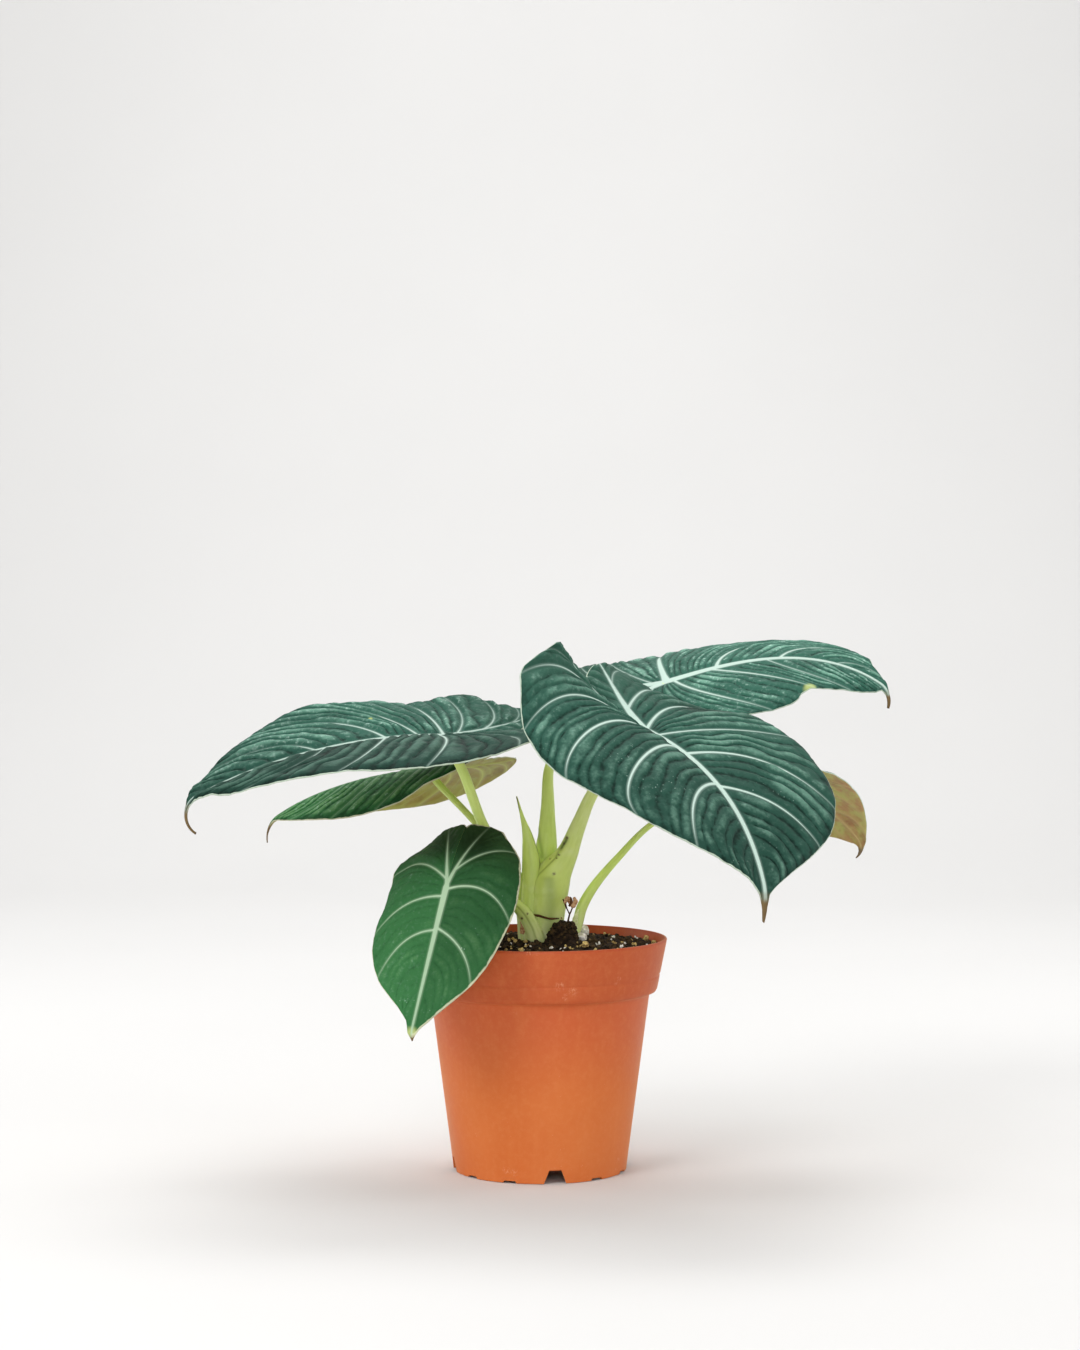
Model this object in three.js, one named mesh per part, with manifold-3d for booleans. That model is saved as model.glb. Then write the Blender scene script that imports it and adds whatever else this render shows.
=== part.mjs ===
// Potted Alocasia 'Black Velvet': six velvet leaves on long stalks in a round nursery pot.
// Millimetres, +Z up. The origin is the middle of the pot's underside, and -Y is the front.
import * as THREE from "three";
import Module from "manifold-3d";

const wasm = await Module();
wasm.setup();

// ---------------------------------------------------------------- driving dimensions
const GAP = 0.3;                    // clearance between pieces that touch
const RAD = Math.PI / 180;
const BACK = new THREE.Vector3(0, 1, 0);

const POT = {
  height: 99, rim: 54, wall: 1.2,
  lip: 0.4,                         // rounding of the rim's outer edge
  bandFoot: 77.4, bandRadius: 49.8, // lower edge of the wide band below the rim
  neck: 75.2, neckRadius: 46.5,     // where the tapered body starts
  stepInside: 1,                    // how far the inside's steps sit from the outside's
  bead: 83.6, beadHalf: 0.8, beadDepth: 0.35, // fine crease round the band
  foot: 36.9, floor: 4.6, floorWall: 1.4,
  pad: 9,                           // radius of the flat pad in the middle of the underside
  sides: 60,
};
// Twelve notches round the foot: every third one is tall, and has a drain hole inside it.
const NOTCH = {
  count: 12, first: 9.9, tallEvery: 3, width: 5.6, narrow: 0.8, high: 5.0, low: 0.9, depth: 8,
  drain: 3.2, drainRing: 24,
};
const SOIL = {
  edge: 94.4, crown: 3.4, crownReach: 46, lump: 0.7, lumpFade: 10, sides: 40, holeBottom: 69,
  rings: [46, 41, 36, 31, 26, 21.5, 17.5, 14, 10, 5],
};
const MOUND = { x: 9.5, y: -9.5, height: 9.5, radius: 5.6 };
const CORM = { x: 1.5, top: 93, bottom: SOIL.holeBottom + GAP, radius: 10.5 };

const LEAF = { thickness: 0.9, edge: 0.6, pillow: 1.0, veinRib: 0.45, midRib: 1.5 };

// Each stalk is a row of oval sections from the corm to its blade: [x, y, z, half width, half depth].
const STALKS = {
  petiole_front_right: [
    [1.5, -1, 91, 6.8, 6.4], [2.4, -1.6, 105, 7.6, 7], [3.2, -2.2, 115, 8.2, 7.2],
    [5.4, -2.8, 125, 7.6, 6.2], [9.8, -4.4, 135, 5.5, 4.6], [15.6, -11, 148, 3.5, 3.3],
    [21.8, -20, 161.4, 2.6, 2.6], [32, -35, 176, 2.2, 2.2], [41.3, -48.6, 186.8, 2.2, 2.2],
  ],
  sheath_tip: [
    [-3.6, -3.6, 91, 3.2, 2.6], [-3.8, -4.4, 105, 3.9, 2.8], [-3.9, -4.8, 117, 4, 2.6],
    [-3.6, -4.2, 129, 4, 2.2], [-4.4, -3.6, 137, 3.1, 1.6], [-5.4, -3.2, 143, 2.1, 1.1],
    [-7.4, -3, 150, 0.9, 0.7], [-9.9, -3, 159, 0.35, 0.35],
  ],
  petiole_back_right: [
    [-0.8, 2, 91, 5.6, 5.2], [-1, 2.4, 111, 6.3, 5.4], [0.4, 2.6, 123, 5.8, 4.8],
    [2.6, 3, 136, 4.6, 3.8], [3.3, 5.6, 153, 3, 2.8], [3.9, 10, 170, 2.1, 2.1],
    [9.5, 21, 177.6, 1.9, 1.9], [30, 40.5, 185, 1.9, 1.9], [49, 52.4, 196.4, 1.9, 1.9],
    [54.8, 54.6, 203, 2, 2],
  ],
  petiole_front_low: [
    [0.5, -6.5, 91, 3.6, 2.8], [-1.8, -9.2, 100, 3.5, 2.6], [-6, -12, 109, 3, 2.4],
    [-12.5, -18, 116.5, 2.3, 2.1], [-24, -32, 122.5, 1.9, 1.9], [-37.1, -49.4, 125.6, 1.8, 1.8],
  ],
  petiole_left: [
    [-5.6, 0.4, 91, 3.2, 3], [-7, -0.6, 111, 3.2, 3], [-9.4, -2.4, 123, 2.9, 2.8],
    [-15, -6.4, 134, 2.5, 2.4], [-23.6, -12, 147, 2.2, 2.2], [-32, -17, 170, 2.1, 2.1],
    [-39.4, -19.8, 183.8, 2.1, 2.1],
  ],
  petiole_back_left: [
    [-5.2, 5.6, 91, 3, 2.8], [-8, 7.6, 111, 2.6, 2.6], [-13.4, 10.4, 125, 2.1, 2.1],
    [-25.6, 16, 144, 1.5, 1.5], [-45, 33, 163.4, 1.6, 1.6], [-47, 34.8, 167.6, 1.6, 1.6],
  ],
  petiole_far_right: [
    [8.4, 1.6, 91, 2.6, 2.4], [13.2, 0.8, 97.5, 2.4, 2.3], [15.8, 0.7, 104, 2.3, 2.2],
    [18, 1.4, 112, 2.3, 2.1], [23.4, 3, 121, 2, 1.9], [33, 7, 132, 1.6, 1.6], [47, 12, 145.6, 1.3, 1.3],
    [64, 18.6, 153.4, 1.2, 1.2], [77.4, 24.2, 158.2, 1.2, 1.2],
  ],
};

// Each blade is bent along its midrib and across each half. Lengths are in mm and angles in degrees.
// heading, pitch and roll of the midrib are polynomials of the distance from the stalk to the tip.
// backPitch replaces the pitch's slope behind the stalk. fold is each half's rise beside the midrib
// (at the stalk, and its change to the tip), and curl is how far the half bends out to its margin
// (and its change behind the stalk). Left and right are as seen along the midrib, from above.
// drip is the narrow tip's length, as a share of the blade's, and how far it bends down.
const BLADES = {
  blade_front_right: {
    at: [42.7, -50, 187.7], length: 105.1, breadth: 1.3, sinus: 0.36, drip: [0.105, -60], steps: 3,
    heading: [-47, -22, -8.6], pitch: [-17.8, -27.8, -8.6],
    backPitch: [58, -3.4], roll: [-4.5, 5.3, -22.9],
    left: { fold: [17.3, -10.1], curl: [-13.9, 52.2] }, right: { fold: [23.5, -20.4], curl: [-42.8, 0] },
  },
  blade_back_right: {
    at: [56, 55, 205.5], length: 101.2, breadth: 1.0, sinus: 0.3, drip: [0.07, -60], steps: 3,
    heading: [-3.4, -4.2, -8.3], pitch: [17.5, -6.1, -49.3],
    backPitch: [31.8, -2.4], roll: [17.7, -4.3, 9.7],
    left: { fold: [8.9, -8.9], curl: [-24.9, 1.5] }, right: { fold: [-1.4, 3.2], curl: [-24.4, 0] },
  },
  blade_left: {
    at: [-40, -20, 184.8], length: 113.2, breadth: 1.0, sinus: 0.3, drip: [0.11, -115], steps: 3,
    heading: [205.7, -14.9, 3.1], pitch: [1.1, -26.2, -3.5],
    backPitch: [14, -1], roll: [-7.5, -3.3, 5.7],
    left: { fold: [6.5, -7.3], curl: [-11.2, -65.1] }, right: { fold: [11.9, 1.7], curl: [-10.9, -34.6] },
  },
  blade_back_left: {
    at: [-47.2, 35, 168.6], length: 76.1, breadth: 1.0, sinus: 0.3, drip: [0.13, -60], steps: 2,
    heading: [183.7, -4, -23.1], pitch: [-5.3, -16.8, -12.5],
    backPitch: [21.6, -4.5], roll: [9.4, -4, 2.9],
    left: { fold: [2.3, -41.6], curl: [-32.8, 11.4] },
    right: { fold: [-4.7, -6.5], curl: [-29.1, -31.9] },
  },
  blade_front_low: {
    at: [-37.5, -50, 125.8], length: 65.1, breadth: 1.0, sinus: 0.44, drip: [0.03, -40], steps: 2,
    heading: [-114.9, -4.9, -1.7], pitch: [-59.8, -6.3, -0.2],
    backPitch: [-40.5, 7.1], roll: [-1.2, -4.8, 1.6],
    left: { fold: [1.1, 7.1], curl: [-26.8, 52] }, right: { fold: [2, 22.3], curl: [-26.6, 43.7] },
  },
  blade_far_right: {
    at: [78.3, 24.6, 159.2], length: 77, breadth: 0.94, sinus: 0.3, drip: [0.07, -90], steps: 2,
    heading: [17.8, 2.2, 3.7], pitch: [11.1, -58.1, -7.4],
    backPitch: [30, 0], roll: [-17.6, -11.6, -1.1],
    left: { fold: [2.9, -9.6], curl: [-20.6, 0] }, right: { fold: [8, -5.1], curl: [-16.9, 0] },
  },
};

// ---------------------------------------------------------------- materials
const material = (color, roughness) =>
  new THREE.MeshStandardMaterial({ color, roughness, metalness: 0, flatShading: true });
const LOOKS = {
  terracotta: material(0xc8693a, 0.6),
  soil: material(0x2c211a, 0.95),
  corm: material(0x6b5138, 0.9),
  stalk: material(0x9dba62, 0.55),
  velvet: material(0x3c6a5b, 0.85),
  green: material(0x2f6b40, 0.8),
};

// ---------------------------------------------------------------- meshes and solids
// A mesh body is { points: [Vector3], faces: [[a, b, c]] } with its faces turned out.
function toSolid(body) {
  const vertProperties = new Float32Array(body.points.flatMap((p) => [p.x, p.y, p.z]));
  const triVerts = new Uint32Array(body.faces.flat());
  return new wasm.Manifold(new wasm.Mesh({ numProp: 3, vertProperties, triVerts }));
}

function toBody(solid) {
  const { numProp, vertProperties, triVerts } = solid.getMesh();
  const points = [];
  for (let i = 0; i < vertProperties.length; i += numProp) {
    points.push(new THREE.Vector3(vertProperties[i], vertProperties[i + 1], vertProperties[i + 2]));
  }
  const faces = [];
  for (let i = 0; i < triVerts.length; i += 3) {
    faces.push([triVerts[i], triVerts[i + 1], triVerts[i + 2]]);
  }
  return largestPiece({ points, faces });
}

// What a cut leaves loose is dropped: only the piece with the most faces stays.
function largestPiece({ points, faces }) {
  const owner = points.map((_, i) => i);
  const find = (i) => {
    while (owner[i] !== i) i = owner[i] = owner[owner[i]];
    return i;
  };
  for (const [a, b, c] of faces) {
    owner[find(b)] = find(a);
    owner[find(c)] = find(a);
  }
  const count = new Map();
  for (const [a] of faces) count.set(find(a), (count.get(find(a)) ?? 0) + 1);
  const main = [...count].sort((p, q) => q[1] - p[1])[0][0];
  return { points, faces: faces.filter(([a]) => find(a) === main) };
}

function cut(body, ...cutters) {
  return toBody(cutters.reduce((solid, cutter) => solid.subtract(toSolid(cutter)), toSolid(body)));
}

function toMesh(name, body, look) {
  const used = new Map();
  const index = body.faces.flat().map((i) => {
    if (!used.has(i)) used.set(i, used.size);
    return used.get(i);
  });
  const geometry = new THREE.BufferGeometry();
  const points = [...used.keys()].map((i) => body.points[i]);
  geometry.setFromPoints(points);
  geometry.setIndex(index);
  geometry.computeVertexNormals();
  const mesh = new THREE.Mesh(geometry, look);
  mesh.name = name;
  return mesh;
}

// Rings of points are skinned in order, and each end is closed with a fan round its middle.
function skin(rings) {
  const sides = rings[0].length;
  const points = rings.flat();
  const faces = [];
  for (let r = 0; r + 1 < rings.length; r++) {
    for (let i = 0; i < sides; i++) {
      const a = r * sides + i;
      const b = r * sides + ((i + 1) % sides);
      faces.push([a, b, b + sides], [a, b + sides, a + sides]);
    }
  }
  const middle = (ring) => ring.reduce((sum, p) => sum.add(p), new THREE.Vector3()).divideScalar(sides);
  const last = (rings.length - 1) * sides;
  points.push(middle(rings[0]), middle(rings.at(-1)));
  for (let i = 0; i < sides; i++) {
    const next = (i + 1) % sides;
    faces.push([next, i, points.length - 2], [last + i, last + next, points.length - 1]);
  }
  return { points, faces };
}

// ---------------------------------------------------------------- pot
// The outline runs up the outside, over the rim, down the inside and across the raised floor.
function potRadius(z) {
  const slope = (POT.neckRadius - POT.foot) / POT.neck;
  if (z <= POT.neck) return POT.foot + slope * z;
  if (z <= POT.bandFoot) {
    return THREE.MathUtils.mapLinear(z, POT.neck, POT.bandFoot, POT.neckRadius, POT.bandRadius);
  }
  return THREE.MathUtils.mapLinear(z, POT.bandFoot, POT.height, POT.bandRadius, POT.rim);
}

function potProfile() {
  const { height, wall, lip, bandFoot, neck, stepInside, bead, beadHalf, beadDepth } = POT;
  const { floor, floorWall, pad } = POT;
  const outside = [0, neck - wall, neck, bandFoot, bead - beadHalf, bead, bead + beadHalf, height - lip];
  const outline = outside.map((z) => [potRadius(z) - (z === bead ? beadDepth : 0), z]);
  outline.push([POT.rim - lip, height], [POT.rim - wall, height]);
  for (const z of [height - 2 * wall, bandFoot + stepInside, neck - stepInside, floor + floorWall]) {
    outline.push([potRadius(z) - wall, z]);
  }
  outline.push([pad + 1, floor + floorWall], [pad - 1, floorWall], [0, floorWall], [0, 0], [pad, 0]);
  outline.push([pad + 2, floor], [potRadius(floor) - 2 * wall, floor], [potRadius(0) - wall, 0]);
  const profile = outline.map(([r, z]) => new THREE.Vector2(r, z));
  profile.push(profile[0].clone());
  return profile;
}

// A lathe's outline with two points on the axis becomes one closed body round +Z.
function turn(profile, sides) {
  const points = [];
  const rings = profile.slice(0, -1).map(({ x: r, y: z }) => {
    const ring = [];
    for (let i = 0; i < (r === 0 ? 1 : sides); i++) {
      const angle = (i / sides) * 2 * Math.PI;
      ring.push(points.length);
      points.push(new THREE.Vector3(r * Math.cos(angle), r * Math.sin(angle), z));
    }
    return ring;
  });
  const faces = [];
  rings.forEach((ring, k) => {
    const above = rings[(k + 1) % rings.length];
    for (let i = 0; i < sides; i++) {
      const [a, b] = [ring[i % ring.length], ring[(i + 1) % ring.length]];
      const [d, c] = [above[i % above.length], above[(i + 1) % above.length]];
      if (a !== b) faces.push([a, b, c]);
      if (c !== d) faces.push([a, c, d]);
    }
  });
  return { points, faces };
}

// A notch is a wedge through the foot of the wall, wider at the bottom; a drain is a plain hole.
function block(radius, angle, length, width, bottom, top, narrow) {
  const along = new THREE.Vector3(Math.sin(angle), -Math.cos(angle), 0);
  const across = new THREE.Vector3(Math.cos(angle), Math.sin(angle), 0);
  const ring = (z, w) => [[1, -1], [1, 1], [-1, 1], [-1, -1]].map(([u, v]) =>
    new THREE.Vector3(0, 0, z)
      .addScaledVector(along, radius + (u * length) / 2)
      .addScaledVector(across, (v * w) / 2));
  return skin([ring(bottom, width), ring(top, width * narrow)]);
}

function potNotches() {
  const cutters = [];
  for (let i = 0; i < NOTCH.count; i++) {
    const angle = (NOTCH.first + (i * 360) / NOTCH.count) * RAD;
    const tall = i % NOTCH.tallEvery === 0;
    const top = tall ? NOTCH.high : NOTCH.low;
    cutters.push(block(POT.foot, angle, NOTCH.depth, NOTCH.width, -1, top, NOTCH.narrow));
    if (tall) {
      const size = 2 * NOTCH.drain;
      const above = POT.floor + 2 * POT.floorWall;
      cutters.push(block(NOTCH.drainRing, angle, size, size, POT.floor - 1, above, 1));
    }
  }
  return cutters;
}

// ---------------------------------------------------------------- stalks
// The sections are joined by a smooth curve, and each ring stands square to it.
function stalk(sections, grow = 0, sides = 12, stepsEach = 2) {
  const curve = new THREE.CatmullRomCurve3(sections.map(([x, y, z]) => new THREE.Vector3(x, y, z)));
  const count = (sections.length - 1) * stepsEach;
  const rings = [];
  for (let k = 0; k <= count; k++) {
    const t = k / count;
    const centre = curve.getPoint(t);
    const ahead = curve.getTangent(t);
    const across = new THREE.Vector3().crossVectors(BACK, ahead).normalize();
    const depth = new THREE.Vector3().crossVectors(ahead, across);
    const low = Math.min(Math.floor(k / stepsEach), sections.length - 2);
    const mix = k / stepsEach - low;
    const [halfWidth, halfDepth] = [3, 4].map((i) =>
      THREE.MathUtils.lerp(sections[low][i], sections[low + 1][i], mix) + grow);
    const ring = [];
    for (let i = 0; i < sides; i++) {
      const angle = (i / sides) * 2 * Math.PI;
      ring.push(centre.clone()
        .addScaledVector(across, halfWidth * Math.cos(angle))
        .addScaledVector(depth, halfDepth * Math.sin(angle)));
    }
    rings.push(ring);
  }
  return skin(rings);
}

// ---------------------------------------------------------------- blades
// The flat outline of one half, in units of the distance from the stalk to the tip: from the notch
// between the lobes, round the lobe, along the side, in to the tip and down the narrow drip tip.
function outlineOf(blade) {
  const s = blade.sinus;
  const drip = blade.drip[0];
  const chain = [
    [[-s, 0], [-s - 0.06, 0.03], [-0.45, 0.07], [-0.48, 0.15]],
    [[-0.48, 0.15], [-0.5, 0.26], [-0.36, 0.42], [-0.16, 0.455]],
    [[-0.16, 0.455], [0.1, 0.5], [0.42, 0.47], [0.66, 0.3]],
    [[0.66, 0.3], [0.83, 0.18], [0.95, 0.045], [1, 0.018]],
    [[1, 0.018], [1 + 0.3 * drip, 0.01], [1 + 0.7 * drip, 0.004], [1 + drip, 0]],
  ].map((knots) => new THREE.CubicBezierCurve(...knots.map(([x, y]) => new THREE.Vector2(x, y))));
  return (m) => chain[Math.min(Math.floor(m), 4)].getPoint(m >= 5 ? 1 : m % 1);
}

// The main veins of one half, from the back lobe to the tip: where each leaves the spine (behind
// the stalk along the lobe's rib when negative, and in drip lengths past the tip when over 1), where
// it meets the outline, and at what angle.
const VEINS = [
  { from: -0.48, to: 1, angle: 160 }, { from: -0.33, to: 1.5, angle: 150 },
  { from: -0.19, to: 1.9, angle: 142 }, { from: -0.05, to: 2.35, angle: 128 },
  { from: 0, to: 2.72, angle: 92 }, { from: 0.2, to: 2.96, angle: 78 },
  { from: 0.44, to: 3.42, angle: 66 }, { from: 0.68, to: 3.74, angle: 54 },
  { from: 1, to: 4, angle: 40 }, { from: 2, to: 5, angle: 30 },
];
const AT_STALK = 4;                 // the vein that leaves at the stalk itself
const AT_TIP = 8;
const COLUMNS = [0, 0.07, 0.26, 0.5, 0.76, 1];
const INNER_COLUMNS = [0, 0.3, 1];

function spine(s) {
  return s < 0 ? new THREE.Vector2(s, -0.25 * s + 0.13 * s * s) : new THREE.Vector2(s, 0);
}

function veinAt(row) {
  const low = Math.min(Math.floor(row), VEINS.length - 2);
  const mix = row - low;
  const pick = (key) => THREE.MathUtils.lerp(VEINS[low][key], VEINS[low + 1][key], mix);
  return { from: pick("from"), to: pick("to"), angle: pick("angle") * RAD };
}

// A point on a vein-like curve: row counts the veins, and reach runs from the spine to the margin.
function outerPoint(blade, row, reach) {
  const { from, to, angle } = veinAt(row);
  const start = spine(from > 1 ? 1 + (from - 1) * blade.drip[0] : from);
  const end = blade.outline(to);
  const pull = 0.58 * start.distanceTo(end);
  const away = new THREE.Vector2(Math.cos(angle), Math.sin(angle)).multiplyScalar(pull);
  return new THREE.QuadraticBezierCurve(start, away.add(start), end).getPoint(reach);
}

// Behind the stalk the strip between the lobe's rib and the notch or midline is filled the same way.
function innerPoint(blade, row, reach) {
  const s = -veinAt(row).from;
  const share = s / -VEINS[0].from;
  const split = 0.55;               // share of the rib that faces the midline
  const across = share < split
    ? new THREE.Vector2((-blade.sinus * share) / split, 0)
    : blade.outline((share - split) / (1 - split));
  return spine(-s).lerp(across, reach);
}

// The midrib as a curve in space, sampled from the back to the drip tip, with its cross directions.
const STATIONS = { first: -0.55, last: 1.15, count: 341, dripStart: 0.95 };
function midribFrames(blade) {
  const frames = [];
  const step = (STATIONS.last - STATIONS.first) / (STATIONS.count - 1);
  const at = ([c0, c1, c2], s) => c0 + c1 * s + c2 * s * s;
  const [dripLength, dripBend] = blade.drip;
  const spot = new THREE.Vector3();
  let before = null;
  for (let i = 0; i < STATIONS.count; i++) {
    const s = STATIONS.first + i * step;
    const slopes = s < 0 ? [blade.pitch[0], ...blade.backPitch] : blade.pitch;
    const intoDrip = Math.max(0, s - STATIONS.dripStart) / (1 + dripLength - STATIONS.dripStart);
    const pitch = (at(slopes, s) + intoDrip * dripBend) * RAD;
    const heading = at(blade.heading, s) * RAD;
    const roll = at(blade.roll, s) * RAD;
    const level = new THREE.Vector3(Math.cos(heading), Math.sin(heading), 0);
    const ahead = level.clone().multiplyScalar(Math.cos(pitch)).setZ(Math.sin(pitch));
    const side = new THREE.Vector3(-Math.sin(heading), Math.cos(heading), 0).applyAxisAngle(ahead, roll);
    const up = new THREE.Vector3().crossVectors(ahead, side);
    if (before) spot.addScaledVector(before.clone().add(ahead), (step * blade.length) / 2);
    before = ahead;
    frames.push({ spot: spot.clone(), side, up });
  }
  const stalkIndex = -STATIONS.first / step;
  const shift = new THREE.Vector3(...blade.at).sub(framePart(frames, stalkIndex, "spot"));
  frames.forEach((frame) => frame.spot.add(shift));
  return frames;
}

function framePart(frames, index, part) {
  const low = Math.min(Math.max(Math.floor(index), 0), frames.length - 2);
  return frames[low][part].clone().lerp(frames[low + 1][part], index - low);
}

// The blade's middle surface: (x, y) of the flat outline, bent into space.
function bend(blade, x, y) {
  const index = (x - STATIONS.first) / (STATIONS.last - STATIONS.first) * (STATIONS.count - 1);
  const [spot, side, up] = ["spot", "side", "up"].map((part) => framePart(blade.frames, index, part));
  const half = y >= 0 ? blade.left : blade.right;
  const fold = (half.fold[0] + half.fold[1] * x) * RAD;
  const curl = ((half.curl[0] + half.curl[1] * Math.min(x, 0)) * RAD) / 0.45;
  const out = Math.abs(y) * blade.breadth;
  const turnTo = fold + curl * out;
  const away = (Math.sin(turnTo) - Math.sin(fold)) / curl;
  const rise = (Math.cos(fold) - Math.cos(turnTo)) / curl;
  return spot
    .addScaledVector(side, Math.sign(y) * away * blade.length)
    .addScaledVector(up, rise * blade.length);
}

function surfaceNormal(blade, x, y) {
  const h = 0.004;
  const side = y >= 0 ? 1 : -1;
  const inner = Math.max(Math.abs(y) - h, 0) * side;
  const outer = (Math.abs(y) + h) * side;
  const alongX = bend(blade, x + h, y).sub(bend(blade, x - h, y));
  const alongY = bend(blade, x, outer).sub(bend(blade, x, inner)).multiplyScalar(side);
  return alongX.cross(alongY).normalize();
}

// Relief at a grid point: the tissue swells up between the veins, and the veins stand out beneath.
function relief(row, reach) {
  const between = Math.sin(Math.PI * (row - Math.floor(row)));
  const swell = Math.sin(Math.PI * Math.min(1, Math.max(0, reach)) ** 0.8);
  const fade = Math.max(0, Math.min(1, (AT_TIP - row) / 1.5));
  const isVein = Number.isInteger(row) && row > 0 && row < AT_TIP;
  return {
    lift: LEAF.pillow * between * swell * fade,
    rib: isVein ? LEAF.veinRib * (1 - reach) : 0,
  };
}

function buildBlade(blade, grow = 0) {
  blade.outline = outlineOf(blade);
  blade.frames = midribFrames(blade);
  const tops = [];
  const bottoms = [];
  const flat = [];
  const seen = new Map();
  const vertex = (p, side, lift, rib, edge) => {
    const key = `${p.x.toFixed(4)},${(p.y * side).toFixed(4)}`.replace(",-0.0000", ",0.0000");
    if (!seen.has(key)) {
      seen.set(key, tops.length);
      const y = p.y * side;
      const middle = bend(blade, p.x, y);
      const normal = surfaceNormal(blade, p.x, y);
      const half = (edge ? LEAF.edge : LEAF.thickness) / 2 + grow;
      flat.push(new THREE.Vector2(p.x, y));
      tops.push(middle.clone().addScaledVector(normal, half + lift));
      bottoms.push(middle.clone().addScaledVector(normal, lift - half - rib));
    }
    return seen.get(key);
  };
  const faces = [];
  const addGrid = (rows) => {
    for (let r = 0; r + 1 < rows.length; r++) {
      for (let c = 0; c + 1 < rows[r].length; c++) {
        const [a, b, d, e] = [rows[r][c], rows[r + 1][c], rows[r + 1][c + 1], rows[r][c + 1]];
        for (const tri of [[a, b, d], [a, d, e]]) {
          if (new Set(tri).size < 3) continue;
          const [p, q, s] = tri.map((i) => flat[i]);
          const area = (q.x - p.x) * (s.y - p.y) - (s.x - p.x) * (q.y - p.y);
          if (area > 0) faces.push(tri);
          else faces.push([tri[0], tri[2], tri[1]]);
        }
      }
    }
  };
  const rowsUpTo = (last) => {
    const rows = [];
    for (let row = 0; row < AT_TIP; row += 1 / blade.steps) rows.push(Math.round(row * 6) / 6);
    return [...rows, AT_TIP, AT_TIP + 0.5, AT_TIP + 1].filter((row) => row <= last);
  };
  const midRib = (s) => LEAF.midRib * Math.max(0.2, 1 - Math.max(0, s) ** 0.7) * blade.length / 106;
  for (const side of [1, -1]) {
    addGrid(rowsUpTo(AT_TIP + 1).map((row) => COLUMNS.map((reach) => {
      const { lift, rib } = relief(row, reach);
      const spineRib = reach === 0 ? midRib(veinAt(row).from) * (row < AT_STALK ? 0.6 : 1) : 0;
      return vertex(outerPoint(blade, row, reach), side, lift, Math.max(rib, spineRib), reach === 1);
    })));
    addGrid(rowsUpTo(AT_STALK).map((row) => INNER_COLUMNS.map((reach) => {
      const p = innerPoint(blade, row, reach);
      const spineRib = reach === 0 ? midRib(0) * 0.6 : 0;
      return vertex(p, side, 0, spineRib, reach === 1 && (p.y > 0 || row < 2));
    })));
  }
  return closeSheet(tops, bottoms, faces);
}

// Both faces of a sheet share one set of triangles; a wall closes them wherever an edge is open.
function closeSheet(tops, bottoms, faces) {
  const below = tops.length;
  const open = new Map();
  for (const tri of faces) {
    tri.forEach((a, i) => {
      const b = tri[(i + 1) % 3];
      if (!open.delete(`${b},${a}`)) open.set(`${a},${b}`, [a, b]);
    });
  }
  const all = [...faces, ...faces.map(([a, b, c]) => [a + below, c + below, b + below])];
  for (const [a, b] of open.values()) all.push([b, a, a + below], [b, a + below, b + below]);
  return { points: [...tops, ...bottoms], faces: all };
}

// ---------------------------------------------------------------- soil and corm
function soilWave(x, y) {
  return Math.sin(0.31 * x + 1.3) * Math.cos(0.27 * y - 0.4) + 0.6 * Math.sin(0.53 * x - 0.47 * y);
}

function soilHeight(x, y) {
  const r = Math.hypot(x, y);
  const spread = MOUND.radius / 1.6;
  const mound = Math.exp(-((x - MOUND.x) ** 2 + (y - MOUND.y) ** 2) / (2 * spread ** 2));
  const crown = SOIL.crown * Math.max(0, 1 - r / SOIL.crownReach);
  const lump = SOIL.lump * soilWave(x, y) * Math.min(1, (POT.rim - 2 - r) / SOIL.lumpFade);
  return SOIL.edge + crown + lump + MOUND.height * mound;
}

function buildSoil() {
  const ringAt = (r, z) => {
    const ring = [];
    for (let i = 0; i < SOIL.sides; i++) {
      const angle = (i / SOIL.sides) * 2 * Math.PI;
      const [x, y] = [r * Math.cos(angle), r * Math.sin(angle)];
      ring.push(new THREE.Vector3(x, y, z ?? soilHeight(x, y)));
    }
    return ring;
  };
  const wall = (z) => potRadius(z) - POT.wall - 1.4 * GAP;
  const floor = POT.floor + POT.floorWall + GAP;
  const steps = [floor, POT.neck - POT.stepInside, POT.bandFoot + POT.stepInside];
  const sides = steps.map((z) => ringAt(wall(z), z));
  const tops = [wall(SOIL.edge - 1), ...SOIL.rings].map((r) => ringAt(r));
  return skin([...sides, ...tops]);
}

// The corm is a short stout stem, narrower at both ends, in a plain shaft in the soil.
function buildCorm() {
  const shape = [[0, 0.62], [0.16, 0.9], [0.5, 1], [0.84, 0.94], [1, 0.86]];
  return stalk(shape.map(([t, width]) => {
    const radius = CORM.radius * width;
    return [CORM.x, 0, THREE.MathUtils.lerp(CORM.bottom, CORM.top, t), radius, radius];
  }), 0, 18, 1);
}

function cormShaft() {
  const radius = CORM.radius + 2 * GAP;
  return stalk([CORM.bottom - GAP, CORM.top + GAP].map((z) => [CORM.x, 0, z, radius, radius]), 0, 18, 1);
}

// ---------------------------------------------------------------- assembly
const part = new THREE.Group();
part.add(toMesh("pot", cut(turn(potProfile(), POT.sides), ...potNotches()), LOOKS.terracotta));

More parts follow.
